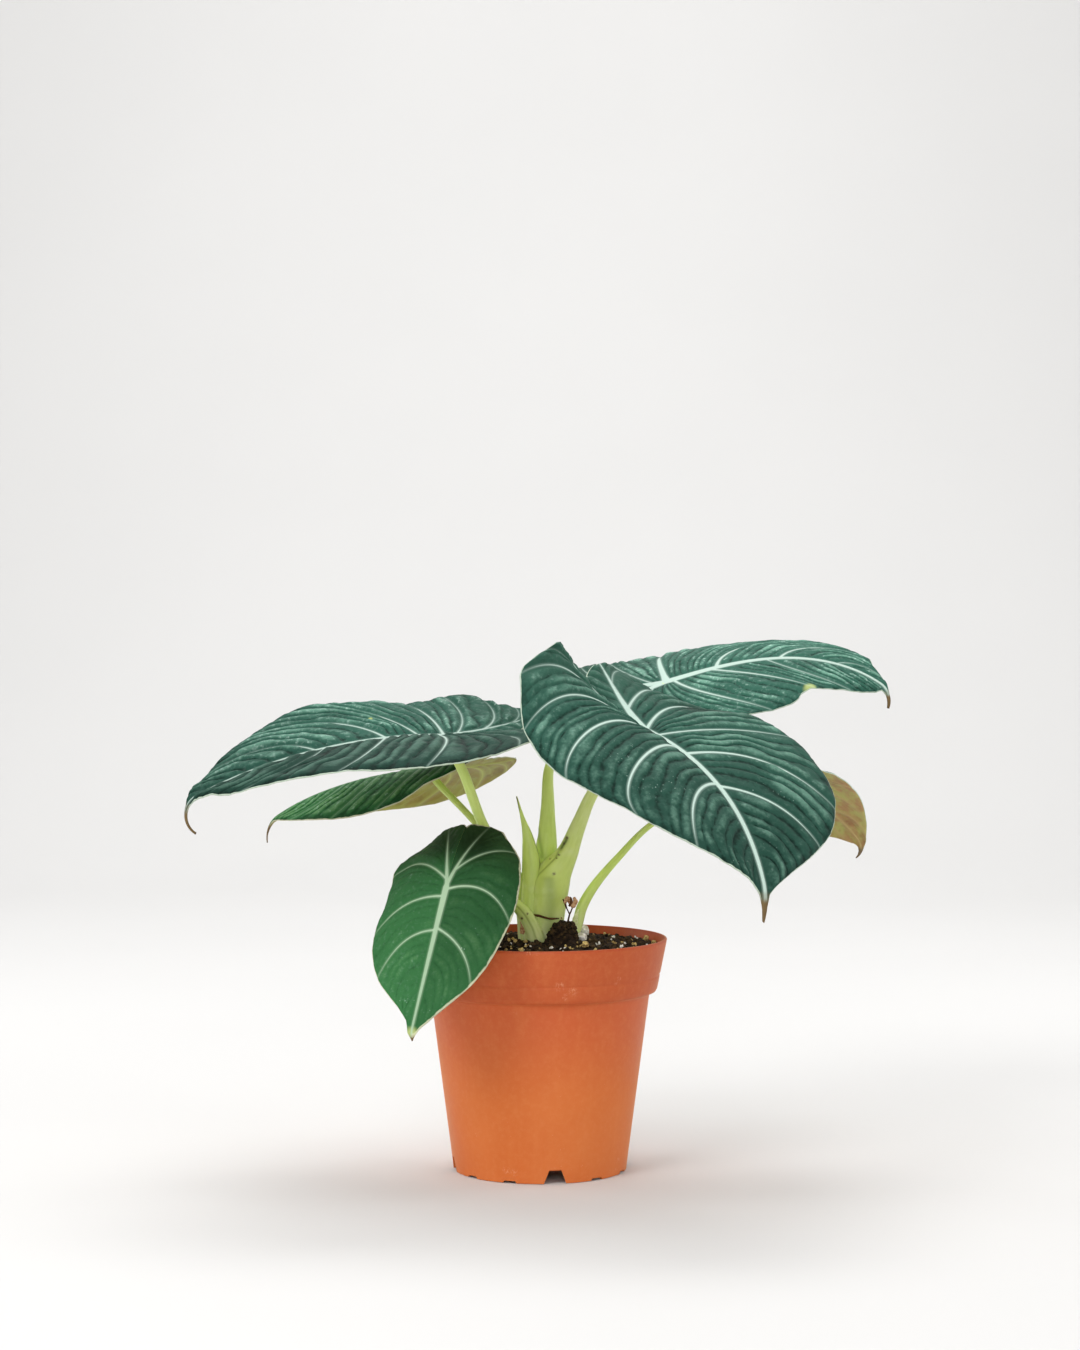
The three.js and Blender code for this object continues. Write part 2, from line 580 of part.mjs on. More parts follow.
// A blade's stalk stops just under it, and each stalk is cut back from the ones it stands against.
const STALK_OF = {
  petiole_front_right: "blade_front_right", petiole_back_right: "blade_back_right",
  petiole_front_low: "blade_front_low", petiole_left: "blade_left",
  petiole_back_left: "blade_back_left", petiole_far_right: "blade_far_right",
};
const placed = [];
for (const [name, sections] of Object.entries(STALKS)) {
  const cutters = [cormShaft(), ...placed.map((other) => stalk(STALKS[other], GAP))];
  if (STALK_OF[name]) cutters.push(buildBlade(BLADES[STALK_OF[name]], GAP));
  part.add(toMesh(name, cut(stalk(sections), ...cutters), LOOKS.stalk));
  placed.push(name);
}
for (const [name, blade] of Object.entries(BLADES)) {
  const look = ["blade_front_low", "blade_back_left"].includes(name) ? LOOKS.green : LOOKS.velvet;
  part.add(toMesh(name, buildBlade(blade), look));
}

part.add(toMesh("corm", buildCorm(), LOOKS.corm));
const holes = [cormShaft(), ...placed.map((name) => stalk(STALKS[name], GAP))];
part.add(toMesh("soil", cut(buildSoil(), ...holes), LOOKS.soil));

export default part;
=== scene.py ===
# Potted Alocasia 'Black Velvet': the finished look of the plant, its pot and its soil.
# Lengths in the tables are millimetres in the part's frame, and MM turns them into metres.
import math

import bmesh
import bpy
import numpy as np
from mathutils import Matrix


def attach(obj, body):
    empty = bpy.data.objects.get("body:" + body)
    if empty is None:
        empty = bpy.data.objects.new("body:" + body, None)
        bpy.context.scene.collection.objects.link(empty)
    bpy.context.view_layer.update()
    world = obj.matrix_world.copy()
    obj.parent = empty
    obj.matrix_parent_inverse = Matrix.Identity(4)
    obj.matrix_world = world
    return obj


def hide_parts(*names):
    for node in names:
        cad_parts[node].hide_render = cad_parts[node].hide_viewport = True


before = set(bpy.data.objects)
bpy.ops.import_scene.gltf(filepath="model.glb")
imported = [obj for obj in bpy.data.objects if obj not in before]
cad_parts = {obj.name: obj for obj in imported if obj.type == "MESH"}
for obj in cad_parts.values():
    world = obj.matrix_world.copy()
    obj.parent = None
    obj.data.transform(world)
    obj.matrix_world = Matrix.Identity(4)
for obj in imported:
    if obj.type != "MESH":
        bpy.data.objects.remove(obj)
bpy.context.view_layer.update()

MM = 0.001
RAD = math.pi / 180

# ---------------- sizes shared with the solids
POT = dict(height=99.0, rim=54.0, wall=1.2, band_foot=77.4, band_radius=49.8, neck=75.2, neck_radius=46.5,
           bead=83.6, foot=36.9, inner_foot=6.0, floor=4.6, floor_under=1.4)
NOTCH = dict(count=12, first=9.9, tall_every=3, width=10.2, high=5.9, low=0.9, slit=6.5, drain=3.2,
             drain_ring=24.0)
SOIL = dict(edge=94.4, crown=3.4, crown_reach=46.0, lump=0.7, lump_fade=10.0)
MOUND = dict(x=9.5, y=-9.5, height=9.5, radius=5.6)
# The loose crust over the solid soil, and the ring round the stem where nothing is scattered.
CRUST = dict(lift=0.7, edge=52.3, rings=86, sides=300)
STEM = dict(x=1.5, y=-1, clear=11.5)

# Stalk sections from the corm to the blade: x, y, z, half width, half depth.
STALKS = {
    "petiole_front_right": [
        (1.5, -1, 91, 6.8, 6.4), (2.4, -1.6, 105, 7.6, 7), (3.2, -2.2, 115, 8.2, 7.2),
        (5.6, -2.8, 125, 7.6, 6.2), (11.4, -5, 135, 4.6, 4.3), (16.4, -11, 148, 3.2, 3.1),
        (22, -20, 161.4, 2.5, 2.5), (32, -35, 176, 2.2, 2.2), (41.8, -49, 187.2, 2.2, 2.2)],
    "sheath_tip": [
        (-3.6, -3.6, 91, 3.2, 2.6), (-3.8, -4.4, 105, 3.9, 2.8), (-3.9, -4.8, 117, 4, 2.6),
        (-3.6, -4.2, 129, 4, 2.2), (-4.4, -3.6, 137, 3.1, 1.6), (-5.4, -3.2, 143, 2.1, 1.1),
        (-7.4, -3, 150, 0.9, 0.7), (-9.9, -3, 159, 0.25, 0.25)],
    "petiole_back_right": [
        (-0.8, 2, 91, 5.6, 5.2), (-1, 2.4, 111, 6.3, 5.4), (0.4, 2.6, 123, 5.8, 4.8),
        (2.6, 3, 136, 4.6, 3.8), (3.3, 5.6, 153, 3, 2.8), (3.9, 10, 170, 2.1, 2.1),
        (9.5, 21, 177.6, 1.9, 1.9), (30, 40.5, 185, 1.9, 1.9), (49, 52.4, 196.4, 1.9, 1.9),
        (55.4, 54.8, 204.4, 2, 2)],
    "petiole_front_low": [
        (0.5, -6.5, 91, 3.6, 2.8), (-1.8, -9.2, 100, 3.5, 2.6), (-6, -12, 109, 3, 2.4),
        (-12.5, -18, 116.5, 2.3, 2.1), (-24, -32, 122.5, 1.9, 1.9), (-37.3, -49.6, 125.8, 1.8, 1.8)],
    "petiole_left": [
        (-5.6, 0.4, 91, 3.2, 3), (-7, -0.6, 111, 3.2, 3), (-9.4, -2.4, 123, 2.9, 2.8),
        (-15, -6.4, 134, 2.5, 2.4), (-23.6, -12, 147, 2.2, 2.2), (-32, -17, 170, 2.1, 2.1),
        (-39.7, -19.9, 184.4, 2.1, 2.1)],
    "petiole_back_left": [
        (-5.2, 5.6, 91, 3, 2.8), (-8, 7.6, 111, 2.6, 2.6), (-13.4, 10.4, 125, 2.1, 2.1),
        (-25.6, 16, 144, 1.5, 1.5), (-45, 33, 163.4, 1.6, 1.6), (-47.1, 34.9, 168.2, 1.6, 1.6)],
    "petiole_far_right": [
        (8.4, 1.6, 91, 2.6, 2.4), (13.2, 0.8, 97.5, 2.4, 2.3), (15.8, 0.7, 104, 2.3, 2.2),
        (18, 1.4, 112, 2.3, 2.1), (23.4, 3, 121, 2, 1.9), (33, 7, 132, 1.6, 1.6),
        (47, 12, 145.6, 1.3, 1.3), (64, 18.6, 153.4, 1.2, 1.2), (77.8, 24.3, 158.6, 1.2, 1.2)],
}

# Marks on the front of a stalk, in mm seen from the front: a line of (x, z) points where the right side
# stands proud by step, sunk by groove along the line, and painted over its width, dark green as painted shade
# of the step, crease or crotch and brown as the stalk's own colour.
SEAMS = {
    "petiole_front_right": [
        dict(line=[(8.3, 137), (6.6, 133.2), (3.6, 130.2), (0.2, 126.8), (-2.2, 123.6), (-3.2, 117)],
             step=0.6, groove=0.25, width=0.5, dark=0.5, brown=0.0),
        dict(line=[(11.4, 142.4), (10.6, 140.4), (9.4, 138.6), (8.2, 136)],
             step=0, groove=0.3, width=0.75, dark=1.0, brown=0.25),
        dict(line=[(3.2, 126), (4.6, 118), (4.2, 108), (3.6, 100)],
             step=0, groove=0.35, width=2.6, dark=0.38, brown=0.0)],
    "sheath_tip": [
        dict(line=[(-5.4, 150), (-4.3, 146.4), (-2.3, 141.2), (0.1, 133.5), (-0.1, 126)],
             step=0, groove=0.1, width=0.45, dark=0.3, brown=0.5),
        dict(line=[(-10, 160), (-9.6, 156.5), (-8.8, 152)],
             step=0, groove=0, width=0.5, dark=0.2, brown=0.9)],
    "petiole_back_right": [
        dict(line=[(-1.3, 146), (0.2, 138), (1.2, 132)],
             step=0.3, groove=0.3, width=1.0, dark=0.5, brown=0.0)],
    "petiole_front_low": [
        dict(line=[(-10.5, 115), (-6.4, 110), (-3.2, 104), (-1.2, 98)],
             step=0.3, groove=0.2, width=0.5, dark=0.35, brown=0.0)],
}
SPOTS = {"petiole_front_right": [(4.4, 132.9, 0.3), (5.9, 126.7, 0.55), (8.2, 134.6, 0.4), (7.2, 133.2, 0.3),
                                 (9.9, 139.4, 0.5), (11.2, 141.9, 0.6), (2.1, 133.2, 0.25)],
         "petiole_front_low": [(-7.6, 108.4, 0.5), (-5.4, 110.4, 0.4)]}

# Blades, bent as in the solids: midrib heading, pitch and roll are polynomials of the distance from
# the stalk to the tip, and each half has a fold at the midrib and a curl out to its margin.
# Pairs and halves go left, right. spots are (half, along, across, reach), in blade lengths.
# Each half's tone, at the back lobe, the middle and the tip, multiplies its colour as painted light and
# shade; its shade spots darken it further as painted shade.
PLAIN_BLADE = dict(breadth=1.0, sinus=0.3, spots={}, fold_shade_paint=1)
# Each blade's glint strength per half is painted highlight: pale glints on its fold crests.
BLADES = {
    "blade_front_right": dict(
        at=(42.7, -50, 187.7), length=105.1, breadth=1.3, sinus=.36, drip=(.105, -60), spacing=.72,
        heading=(-47, -22, -8.6), pitch=(-17.8, -27.8, -8.6), back_pitch=(58, -3.4), roll=(-4.5, 5.3, -22.9),
        left=((17.3, -10.1), (-13.9, 52.2)), right=((23.5, -20.4), (-42.8, 0)), midrib=2.15, costa=(1.9, .58),
        pale=(.85, 1, .95), painted_glint=(.14, .14), spots=dict(dust=[(-1, .27, .275, .06), (-1, .5, .2, .07),
        (-1, .42, .27, .05), (-1, .1, .3, .04), (1, .5, .1, .03)], shade=[(1, -.11, .32, .09),
        (1, -.08, .4, .09), (1, -.03, .45, .08)]), tone=((1.3, 1.2, .82), (1.4, 1.05, .82)),
        folds=dict(gap=6.2, left=(1.3, .85), right=(1.1, .6)), margin=(.3, .5)),
    "blade_back_right": dict(
        at=(56, 55, 205.5), length=101.2, drip=(.07, -60), spacing=.77, heading=(-3.4, -4.2, -8.3),
        pitch=(17.5, -6.1, -49.3), back_pitch=(31.8, -2.4), roll=(17.7, -4.3, 9.7), left=((8.9, -8.9),
        (-24.9, 1.5)), right=((-1.4, 3.2), (-24.4, 0)), midrib=2.2, costa=(1.8, .58), pale=(.7, 1, .9),
        painted_glint=(.45, .4), spots=dict(lime=[(-1, .67, .275, .03)]), tone=((1.1, 1.8, 1.75), (1.05, 1.65, 1.6)),
        folds=dict(gap=4.8, left=(.85, 1), right=(.85, 1)), margin=(.4, .3)),
    "blade_left": dict(
        at=(-40, -20, 184.8), length=113.2, drip=(.11, -115), spacing=.77, heading=(205.7, -14.9, 3.1),
        pitch=(1.1, -26.2, -3.5), back_pitch=(14, -1), roll=(-7.5, -3.3, 5.7), left=((6.5, -7.3),
        (-11.2, -65.1)), right=((11.9, 1.7), (-10.9, -34.6)), midrib=1.3, costa=(.9, .58), pale=(.5, .95, .6),
        painted_glint=(.06, .4), spots=dict(lime=[(-1, .22, .183, .008)]), tone=((.85, .7, .6), (1.2, 1.5, .9)),
        folds=dict(gap=7, left=(1.5, 1.1), right=(1.6, 1.1)), margin=(.45, .3)),
    "blade_back_left": dict(
        at=(-47.2, 35, 168.6), length=76.1, drip=(.13, -60), spacing=.82, heading=(183.7, -4, -23.1),
        pitch=(-5.3, -16.8, -12.5), back_pitch=(21.6, -4.5), roll=(9.4, -4, 2.9), left=((2.3, -41.6),
        (-32.8, 11.4)), right=((-4.7, -6.5), (-29.1, -31.9)), midrib=.7, costa=(.45, .58), pale=(.3, .4, .3),
        painted_glint=(.25, .25), fold_shade_paint=2, tone=((1.35, 1.45, 1.4), (1.35, 1.45, 1.4)), folds=dict(gap=5,
        left=(.9, 1.1), right=(.9, 1.1)), margin=(.35, .35)),
    "blade_front_low": dict(
        at=(-37.5, -50, 125.8), length=65.1, sinus=.44, drip=(.03, -40), spacing=.66,
        heading=(-114.9, -4.9, -1.7), pitch=(-59.8, -6.3, -.2), back_pitch=(-40.5, 7.1),
        roll=(-1.2, -4.8, 1.6), left=((1.1, 7.1), (-26.8, 52)), right=((2, 22.3), (-26.6, 43.7)), midrib=1.35,
        costa=(.85, .36), pale=(.55, .85, .7), spots=dict(dust=[(1, .36, .13, .05), (1, .3, .27, .03),
        (-1, .25, .2, .05), (1, .42, .2, .04)], shade=[(1, -.3, .1, .12), (-1, -.3, .1, .12)],
        lime=[(1, 1, 0, .05), (-1, 1, 0, .05)]), painted_glint=(.1, .2), fold_shade_paint=.4, tone=((.85, .97, 1.45),
        (1.15, 1.5, 1.8)), folds=dict(gap=5.6, left=(.25, .8), right=(.35, .95)), margin=(1.1, .35)),
    "blade_far_right": dict(
        at=(78.3, 24.6, 159.2), length=77, breadth=.94, drip=(.07, -90), spacing=.94,
        heading=(17.8, 2.2, 3.7), pitch=(11.1, -58.1, -7.4), back_pitch=(30, 0), roll=(-17.6, -11.6, -1.1),
        left=((2.9, -9.6), (-20.6, 0)), right=((8, -5.1), (-16.9, 0)), midrib=1, costa=(.7, .58),
        pale=(.8, .8, .7), painted_glint=(.1, .1), tone=((1, 1, 1), (1, 1, 1)), folds=dict(gap=4.2, left=(.6, 1),
        right=(.6, 1)), margin=(.35, .35)),
}

# Small moves of a half's margin in mm, to follow the photograph: the place on the outline, then x and z.
SHIFTS = {
    "blade_front_right": dict(
        left=[(2.3, 0, 0), (2.4, .2, .3), (2.59, -.4, -.3), (2.82, 1.3, .5), (3.07, 2.4, -.8),
        (3.12, 1.7, -1.5), (3.56, 0, 0), (3.82, .2, .4), (3.95, 0, 0)], right=[(1, 0, 0), (1.08, 0, 0),
        (1.15, .3, -.9), (1.28, 2.3, -1.3), (1.35, .4, -3), (1.42, 1.4, -2.2), (1.59, .6, -.7),
        (1.7, -.7, .7), (1.75, -1, -.1), (1.87, .5, 0), (1.94, .6, 0), (2.14, -1.4, -.7), (2.32, -1.6, -1.2),
        (2.48, -.5, -1), (2.58, .1, .3), (2.69, .4, .7), (2.88, .4, .9), (3.04, -.5, -.9), (3.21, -.7, -1.4),
        (3.73, .2, .2), (3.95, 0, 0)]),
    "blade_back_right": dict(
        left=[(2.3, 0, 0), (2.5, 0, 0), (2.76, .1, -1.5), (2.91, -.1, -.4), (3.26, .2, .4), (3.45, .7, 1.7),
        (3.53, 0, 0), (3.7, 0, 0)], right=[(2.6, 0, 0), (2.75, .5, -2), (2.87, .9, -2.5), (2.92, 1.2, -1.3),
        (2.98, -1.3, -.2), (3.03, .1, 1.6), (3.23, -.1, -1), (3.56, -.2, -2.9), (3.76, .3, -2), (3.9, 0, 0)]),
    "blade_left": dict(
        left=[(1.4, 0, 0), (2.05, 0, 0), (2.09, -.3, .7), (2.22, -.1, .4), (2.32, .2, -.9), (2.49, .1, -1.1),
        (2.66, 0, -.4), (2.78, 0, 1.4), (2.81, -.2, 1.4), (3.46, .4, -1.4), (3.53, -.1, -1), (3.61, 0, .2),
        (3.9, 0, 0)], right=[(1.1, 0, 0), (1.27, 0, 0), (1.49, -.3, -1), (1.69, .2, 1.3), (1.75, -.1, 1.7),
        (1.94, -.1, .2), (2.04, .5, -1.2), (2.09, .1, -1.6), (2.42, 0, -1), (2.69, -.2, 1.6),
        (2.73, -.9, 1.5), (2.91, 0, 0), (3.3, -.4, .4), (3.7, .7, .2), (3.9, 0, 0)]),
    "blade_back_left": dict(
        left=[(2, 0, 0), (2.27, -.1, .1), (2.44, 1.1, -1.7), (2.7, .2, -1.6), (2.95, 0, -.1), (3.8, 0, 0)]),
    "blade_front_low": dict(
        left=[(.6, 0, 0), (.9, -.1, .3), (1.1, -.5, -.4), (1.25, 0, -.4), (1.39, -1.1, -.5), (1.5, -.7, -.9),
        (1.74, -.5, 0), (1.96, -1.2, .1), (2.26, -.5, .2), (2.58, -.9, .5), (2.96, .2, -.1), (3.9, 0, 0)],
        right=[(.6, 0, 0), (.9, 0, 0), (1.5, 1, -1.1), (1.74, .1, -.3), (1.96, -.9, 2.2), (2.04, -1.8, .2),
        (2.19, 1.4, -.3), (2.39, 2, -1), (2.53, .7, -.4), (2.78, -.3, 0), (3.05, -.5, -.3), (3.45, 1.3, 1.1),
        (3.58, 1.6, .9), (3.72, 1.6, .9), (3.9, 0, 0)]),
}

# The back lobe's rib ends LOBE blade lengths behind the stalk. Its inner strip meets the midline over the
# first SPLIT of that, and the notch over the rest.
LOBE = 0.48
SPLIT = 0.55

# Side veins: start on the spine, end on the outline, angle, half width in mm. A fifth number is the pull of
# those that don't have the usual one. Each half starts with the first rib, at the end of its back lobe, and
# ends with the two of the tail, round the tip.
PULL = 0.58
FIRST_RIB = (-LOBE, 1, 160, PULL, 0)
TAIL = [(1.0, 4.0, 40, PULL, 0.0), (2.0, 5.0, 30, PULL, 0.0)]
RIBS = {
    "blade_front_right": dict(
        left=[(-.33, 1.3, 150, .1), (-.173, 1.64, 133, .4, .6), (0, 2.1, 134, .46, .8), (.054, 2.39, 77, .32),
        (.229, 2.89, 79, .52, .57), (.463, 3.2, 62, .46, .57), (.72, 3.64, 52, 0)],
        right=[(-.31, 1.35, 152, .2), (-.145, 1.74, 158, .42, .68), (-.056, 2.13, 131, .52, .66),
        (.016, 2.52, 84, .54, .8), (.172, 2.95, 63, .54, .76), (.45, 3.33, 66, .5, .5), (.7, 3.7, 54, 0)]),
    "blade_back_right": dict(
        left=[(-.33, 1.25, 150, .1), (-.19, 1.55, 142, .3), (-.05, 1.85, 128, .12), (0, 2.2, 95, 1.1),
        (.223, 3.02, 81, .52, .54), (.5, 3.4, 72, .4, .59), (.74, 3.76, 56, .08)],
        right=[(-.33, 1.4, 150, .1), (-.19, 1.8, 142, .3), (-.05, 2.25, 128, .14), (.028, 2.75, 74, .4, .47),
        (.192, 3.08, 46, .42, .48), (.44, 3.45, 56, .12, .55), (.7, 3.76, 50, 0)]),
    "blade_left": dict(
        left=[(-.33, 1.4, 150, 0), (-.19, 1.75, 142, .12), (-.05, 2.1, 128, .2), (.027, 2.48, 90, .42, .41),
        (.227, 2.82, 63, .36, .57), (.46, 3.36, 60, .14), (.7, 3.72, 52, 0)], right=[(-.33, 1.3, 150, .1),
        (-.19, 1.6, 142, .3), (-.06, 1.9, 128, .2), (0, 2.16, 101, .4, .59), (.099, 2.62, 82, .26, .59),
        (.225, 3.06, 74, .34, .62), (.492, 3.52, 67, .24, .53), (.74, 3.8, 52, 0)]),
    "blade_back_left": dict(
        left=[(-.33, 1.5, 150, .1), (-.19, 1.9, 142, .3), (-.05, 2.35, 128, .2), (.04, 2.6, 88, .2),
        (.293, 2.9, 80, .22, .6), (.5, 3.42, 66, .14), (.72, 3.74, 54, 0)], right=[(-.33, 1.5, 150, .1),
        (-.19, 1.9, 142, .3), (-.05, 2.35, 128, .2), (0, 2.72, 92, .22), (.2, 2.96, 78, .22),
        (.44, 3.42, 66, .18), (.68, 3.74, 54, 0)]),
    "blade_front_low": dict(
        left=[(-.33, 1.2, 150, 0), (-.21, 1.4, 146, 0, .6), (-.097, 1.66, 141, .26, .62),
        (.036, 2.44, 113, .32, .62), (.295, 2.98, 69, .3, .57), (.5, 3.42, 66, 0), (.72, 3.74, 54, 0)],
        right=[(-.33, 1.3, 150, 0), (-.19, 1.7, 140, 0, .6), (-.033, 2.08, 129, .26, .8),
        (.081, 2.63, 88, .3, .59), (.311, 3.01, 82, .28, .52), (.52, 3.42, 66, 0), (.72, 3.74, 54, 0)]),
    "blade_far_right": dict.fromkeys(("left", "right"), [
        (-.33, 1.5, 150, .1), (-.19, 1.9, 142, .35), (-.05, 2.35, 128, .45), (0, 2.72, 92, .5),
        (.2, 2.96, 78, .5), (.44, 3.42, 66, .4), (.68, 3.74, 54, .15)]),
}


def rib_rows(name, side):
    """One half's ribs with their pull: start, end, angle, pull, half width."""
    return [FIRST_RIB] + [(row[0], row[1], row[2], row[4] if len(row) > 4 else PULL, row[3])
                          for row in RIBS[name][side]]


# ---------------- node materials
def srgb(text, alpha=1.0):
    """A hex colour as linear RGBA."""
    values = [int(text[i:i + 2], 16) / 255 for i in (1, 3, 5)]
    return tuple(v / 12.92 if v <= 0.04045 else ((v + 0.055) / 1.055) ** 2.4 for v in values) + (alpha,)


class Shader:
    """A short way to write a node material: every call adds one node and returns its output."""

    def __init__(self, name, **sockets):
        self.material = bpy.data.materials.new(name)
        self.material.use_nodes = True
        self.tree = self.material.node_tree
        self.bsdf = self.tree.nodes["Principled BSDF"]
        self.color = None
        for key, value in sockets.items():
            self.set(key.replace("_", " "), value)

    def feed(self, value, target):
        if isinstance(value, bpy.types.NodeSocket):
            self.tree.links.new(value, target)
        else:
            target.default_value = value

    def set(self, socket, value):
        self.feed(value, self.bsdf.inputs[socket])

    def node(self, kind, inputs=(), **settings):
        node = self.tree.nodes.new(kind)
        for key, value in settings.items():
            setattr(node, key, value)
        for key, value in dict(inputs).items():
            self.feed(value, node.inputs[key])
        return node

    def attribute(self, name, output="Fac"):
        return self.node("ShaderNodeAttribute", attribute_name=name).outputs[output]

    def place(self):
        return self.node("ShaderNodeTexCoord").outputs["Object"]

    def math(self, operation, a, b):
        return self.node("ShaderNodeMath", {0: a, 1: b}, operation=operation).outputs[0]

    def plus(self, a, b):
        return self.math("ADD", a, b)

    def times(self, a, b):
        return self.math("MULTIPLY", a, b)

    def ramp(self, value, low, high, out_low=0.0, out_high=1.0):
        return self.node("ShaderNodeMapRange", {0: value, 1: low, 2: high, 3: out_low, 4: out_high},
                         interpolation_type="SMOOTHSTEP", clamp=True).outputs[0]

    def noise(self, vector, scale, detail=2.0, rough=0.5):
        return self.node("ShaderNodeTexNoise", {"Vector": vector, "Scale": scale, "Detail": detail,
                                                "Roughness": rough}).outputs["Fac"]

    def cells(self, vector, scale):
        return self.node("ShaderNodeTexVoronoi", {"Vector": vector, "Scale": scale}).outputs["Distance"]

    def stretch(self, vector, scale):
        return self.node("ShaderNodeMapping", {"Vector": vector, "Scale": scale}).outputs[0]

    def mix(self, amount, a, b, blend="MIX"):
        return self.node("ShaderNodeMix", {0: amount, 6: a, 7: b}, data_type="RGBA",
                         blend_type=blend).outputs[2]

    def coat(self, amount, text):
        """Lays a hex colour over the colour so far."""
        self.color = self.mix(amount, self.color, srgb(text))

    def done(self, height, distance, strength):
        """Joins the colour and a bump to the surface."""
        bump = self.node("ShaderNodeBump", {"Height": height, "Distance": distance, "Strength": strength})
        self.set("Base Color", self.color)
        self.set("Normal", bump.outputs[0])
        return self.material


DRIP_BROWN = "#6E5B3E"


def leaf_top(name, ground, crest, groove, vein, lobe, margin):
    """The upper face: velvet with painted highlight on the crests and painted shade in the grooves between
    the side folds, and pale veins.
    """
    s = Shader(name, Roughness=0.6, Specular_IOR_Level=0.06, Sheen_Weight=0.03, Sheen_Roughness=0.35)
    place = s.place()
    fine = s.noise(place, 900, 3, 0.65)
    height = s.plus(s.attribute("ridge"), s.ramp(fine, 0.3, 0.7, -0.07, 0.07))
    tone = s.ramp(s.noise(place, 38, 2), 0.3, 0.7, -0.16, 0.16)
    # Painted shade and highlight: the fold relief darkens the grooves and lightens the crests.
    s.color = srgb(groove)
    s.coat(s.ramp(height, 0.02, 0.46), ground)
    s.coat(s.ramp(s.plus(height, tone), 0.5, 1.15), crest)
    s.coat(s.ramp(s.noise(place, 55, 2), 0.35, 0.75, 0.0, 0.18), groove)
    s.coat(s.ramp(s.attribute("station"), -0.05, -0.42, 0.0, 0.75), lobe)
    rare = s.ramp(s.noise(place, 70, 2), 0.58, 0.74, 0.0, 0.4)
    often = s.times(s.attribute("dust"), s.ramp(s.noise(place, 260, 2), 0.4, 0.6))
    specks = s.times(s.ramp(s.cells(place, 620), 0.2, 0.08), s.math("MAXIMUM", rare, often))
    s.coat(s.times(specks, 0.6), "#B9D3C8")
    # Painted highlight: pale glints on the fold crests, as strong as each half's setting.
    glints = s.times(s.ramp(s.noise(place, 560, 3, 0.6), 0.5, 0.75), s.ramp(height, 0.5, 1.0, 0.15, 1.0))
    s.coat(s.times(glints, s.attribute("painted_glint")), "#B5CFC4")
    # Painted light and shade: each half's tone multiplies the colour.
    s.color = s.mix(1.0, s.color, s.attribute("tone"), "MULTIPLY")
    s.coat(s.ramp(s.attribute("lime"), 0.1, 0.9, 0.0, 0.85), "#B3BE78")
    near = s.attribute("vein")
    pale = s.attribute("pale")
    s.coat(s.times(s.ramp(near, 1.0, 0.0, 0.0, 0.3), pale), vein)
    s.coat(s.times(s.ramp(near, 0.22, -0.22), pale), vein)
    rough_edge = s.plus(s.attribute("edge"), s.ramp(s.noise(place, 240, 2), 0.3, 0.7, -0.35, 0.35))
    s.coat(s.ramp(rough_edge, 1.1, 0.5, 0.0, 0.75), margin)
    s.coat(s.ramp(s.attribute("drip"), 0.1, 0.45), DRIP_BROWN)
    return s.done(s.plus(fine, s.times(s.noise(place, 2600, 2), 0.5)), 0.00012, 0.5)


def leaf_underside(name, green, warm, dark, vein):
    """The lower face: olive with warm blotches and green ribs."""
    s = Shader(name, Roughness=0.5, Specular_IOR_Level=0.4)
    place = s.place()
    blotch = s.noise(place, 85, 3, 0.6)
    fine = s.noise(place, 700, 3, 0.6)
    ridge = s.attribute("ridge")
    s.color = srgb(green)
    s.coat(s.ramp(blotch, 0.4, 0.6), warm)
    s.coat(s.ramp(s.noise(place, 130, 3), 0.5, 0.7, 0.0, 0.7), dark)
    s.coat(s.ramp(ridge, 0.7, 0.1, 0.0, 0.35), vein)
    s.coat(s.ramp(fine, 0.35, 0.75, 0.0, 0.3), green)
    near = s.attribute("vein")
    s.coat(s.ramp(near, 1.4, 0.0, 0.0, 0.5), vein)
    s.coat(s.ramp(near, 0.25, -0.15), vein)
    s.coat(s.ramp(s.attribute("edge"), 1.1, 0.5, 0.0, 0.7), "#B9B27E")
    s.coat(s.ramp(s.attribute("drip"), 0.1, 0.45), DRIP_BROWN)
    return s.done(fine, 0.0001, 0.4)


def stalk_look(name, low, middle, high, line):
    """Stalk skin: pale at the soil, streaked along its length."""
    s = Shader(name, Roughness=0.42, Specular_IOR_Level=0.35, Subsurface_Weight=0.15, Subsurface_Scale=0.004)
    s.set("Subsurface Radius", (0.8, 1.0, 0.3))
    along = s.attribute("along")
    lines = s.noise(s.stretch(s.attribute("skin", "Vector"), (1.0, 1.0, 0.05)), 2.2, 3, 0.6)
    mottle = s.noise(s.place(), 160, 3)
    s.color = srgb(low)
    s.coat(s.ramp(along, 2.0, 22.0), middle)
    s.coat(s.ramp(along, 30.0, 60.0), high)
    s.coat(s.ramp(lines, 0.35, 0.7, 0.0, 0.4), line)
    s.coat(s.ramp(mottle, 0.55, 0.8, 0.0, 0.3), low)
    speck = s.times(s.ramp(s.cells(s.place(), 240), 0.06, 0.035), s.ramp(mottle, 0.58, 0.62))
    s.coat(s.times(speck, 0.3), "#6B6A3A")
    # Painted shade along the seams' steps and creases and in the crotch between stalks.
    s.coat(s.attribute("dark"), "#5E7A22")
    s.coat(s.attribute("brown"), "#4A3A1C")
    return s.done(lines, 0.00025, 0.5)


# Pale scuffs on the pot, and at 98.6 mm on the rim's front a painted highlight: x, y, z and reach in mm.
SCUFFS_AND_RIM_HIGHLIGHT = [(32.6, -40.1, 86.2, 1.5), (31.4, -40.8, 84.2, 1.3), (8, -50.2, 84.2, 2.8), (13.4, -49, 82, 2.6),
          (10.4, -49.6, 79.6, 2.2), (-10, -44.9, 72.7, 1.2), (-13.9, -34.8, 5.2, 2.4), (-10.6, -36, 4.6, 2.2),
          (-4.2, -54, 98.6, 2.2), (-1.4, -54.1, 98.6, 1.6), (32.9, -18.6, 6.3, 1.8), (31.9, -19.1, 2.9, 1.0)]


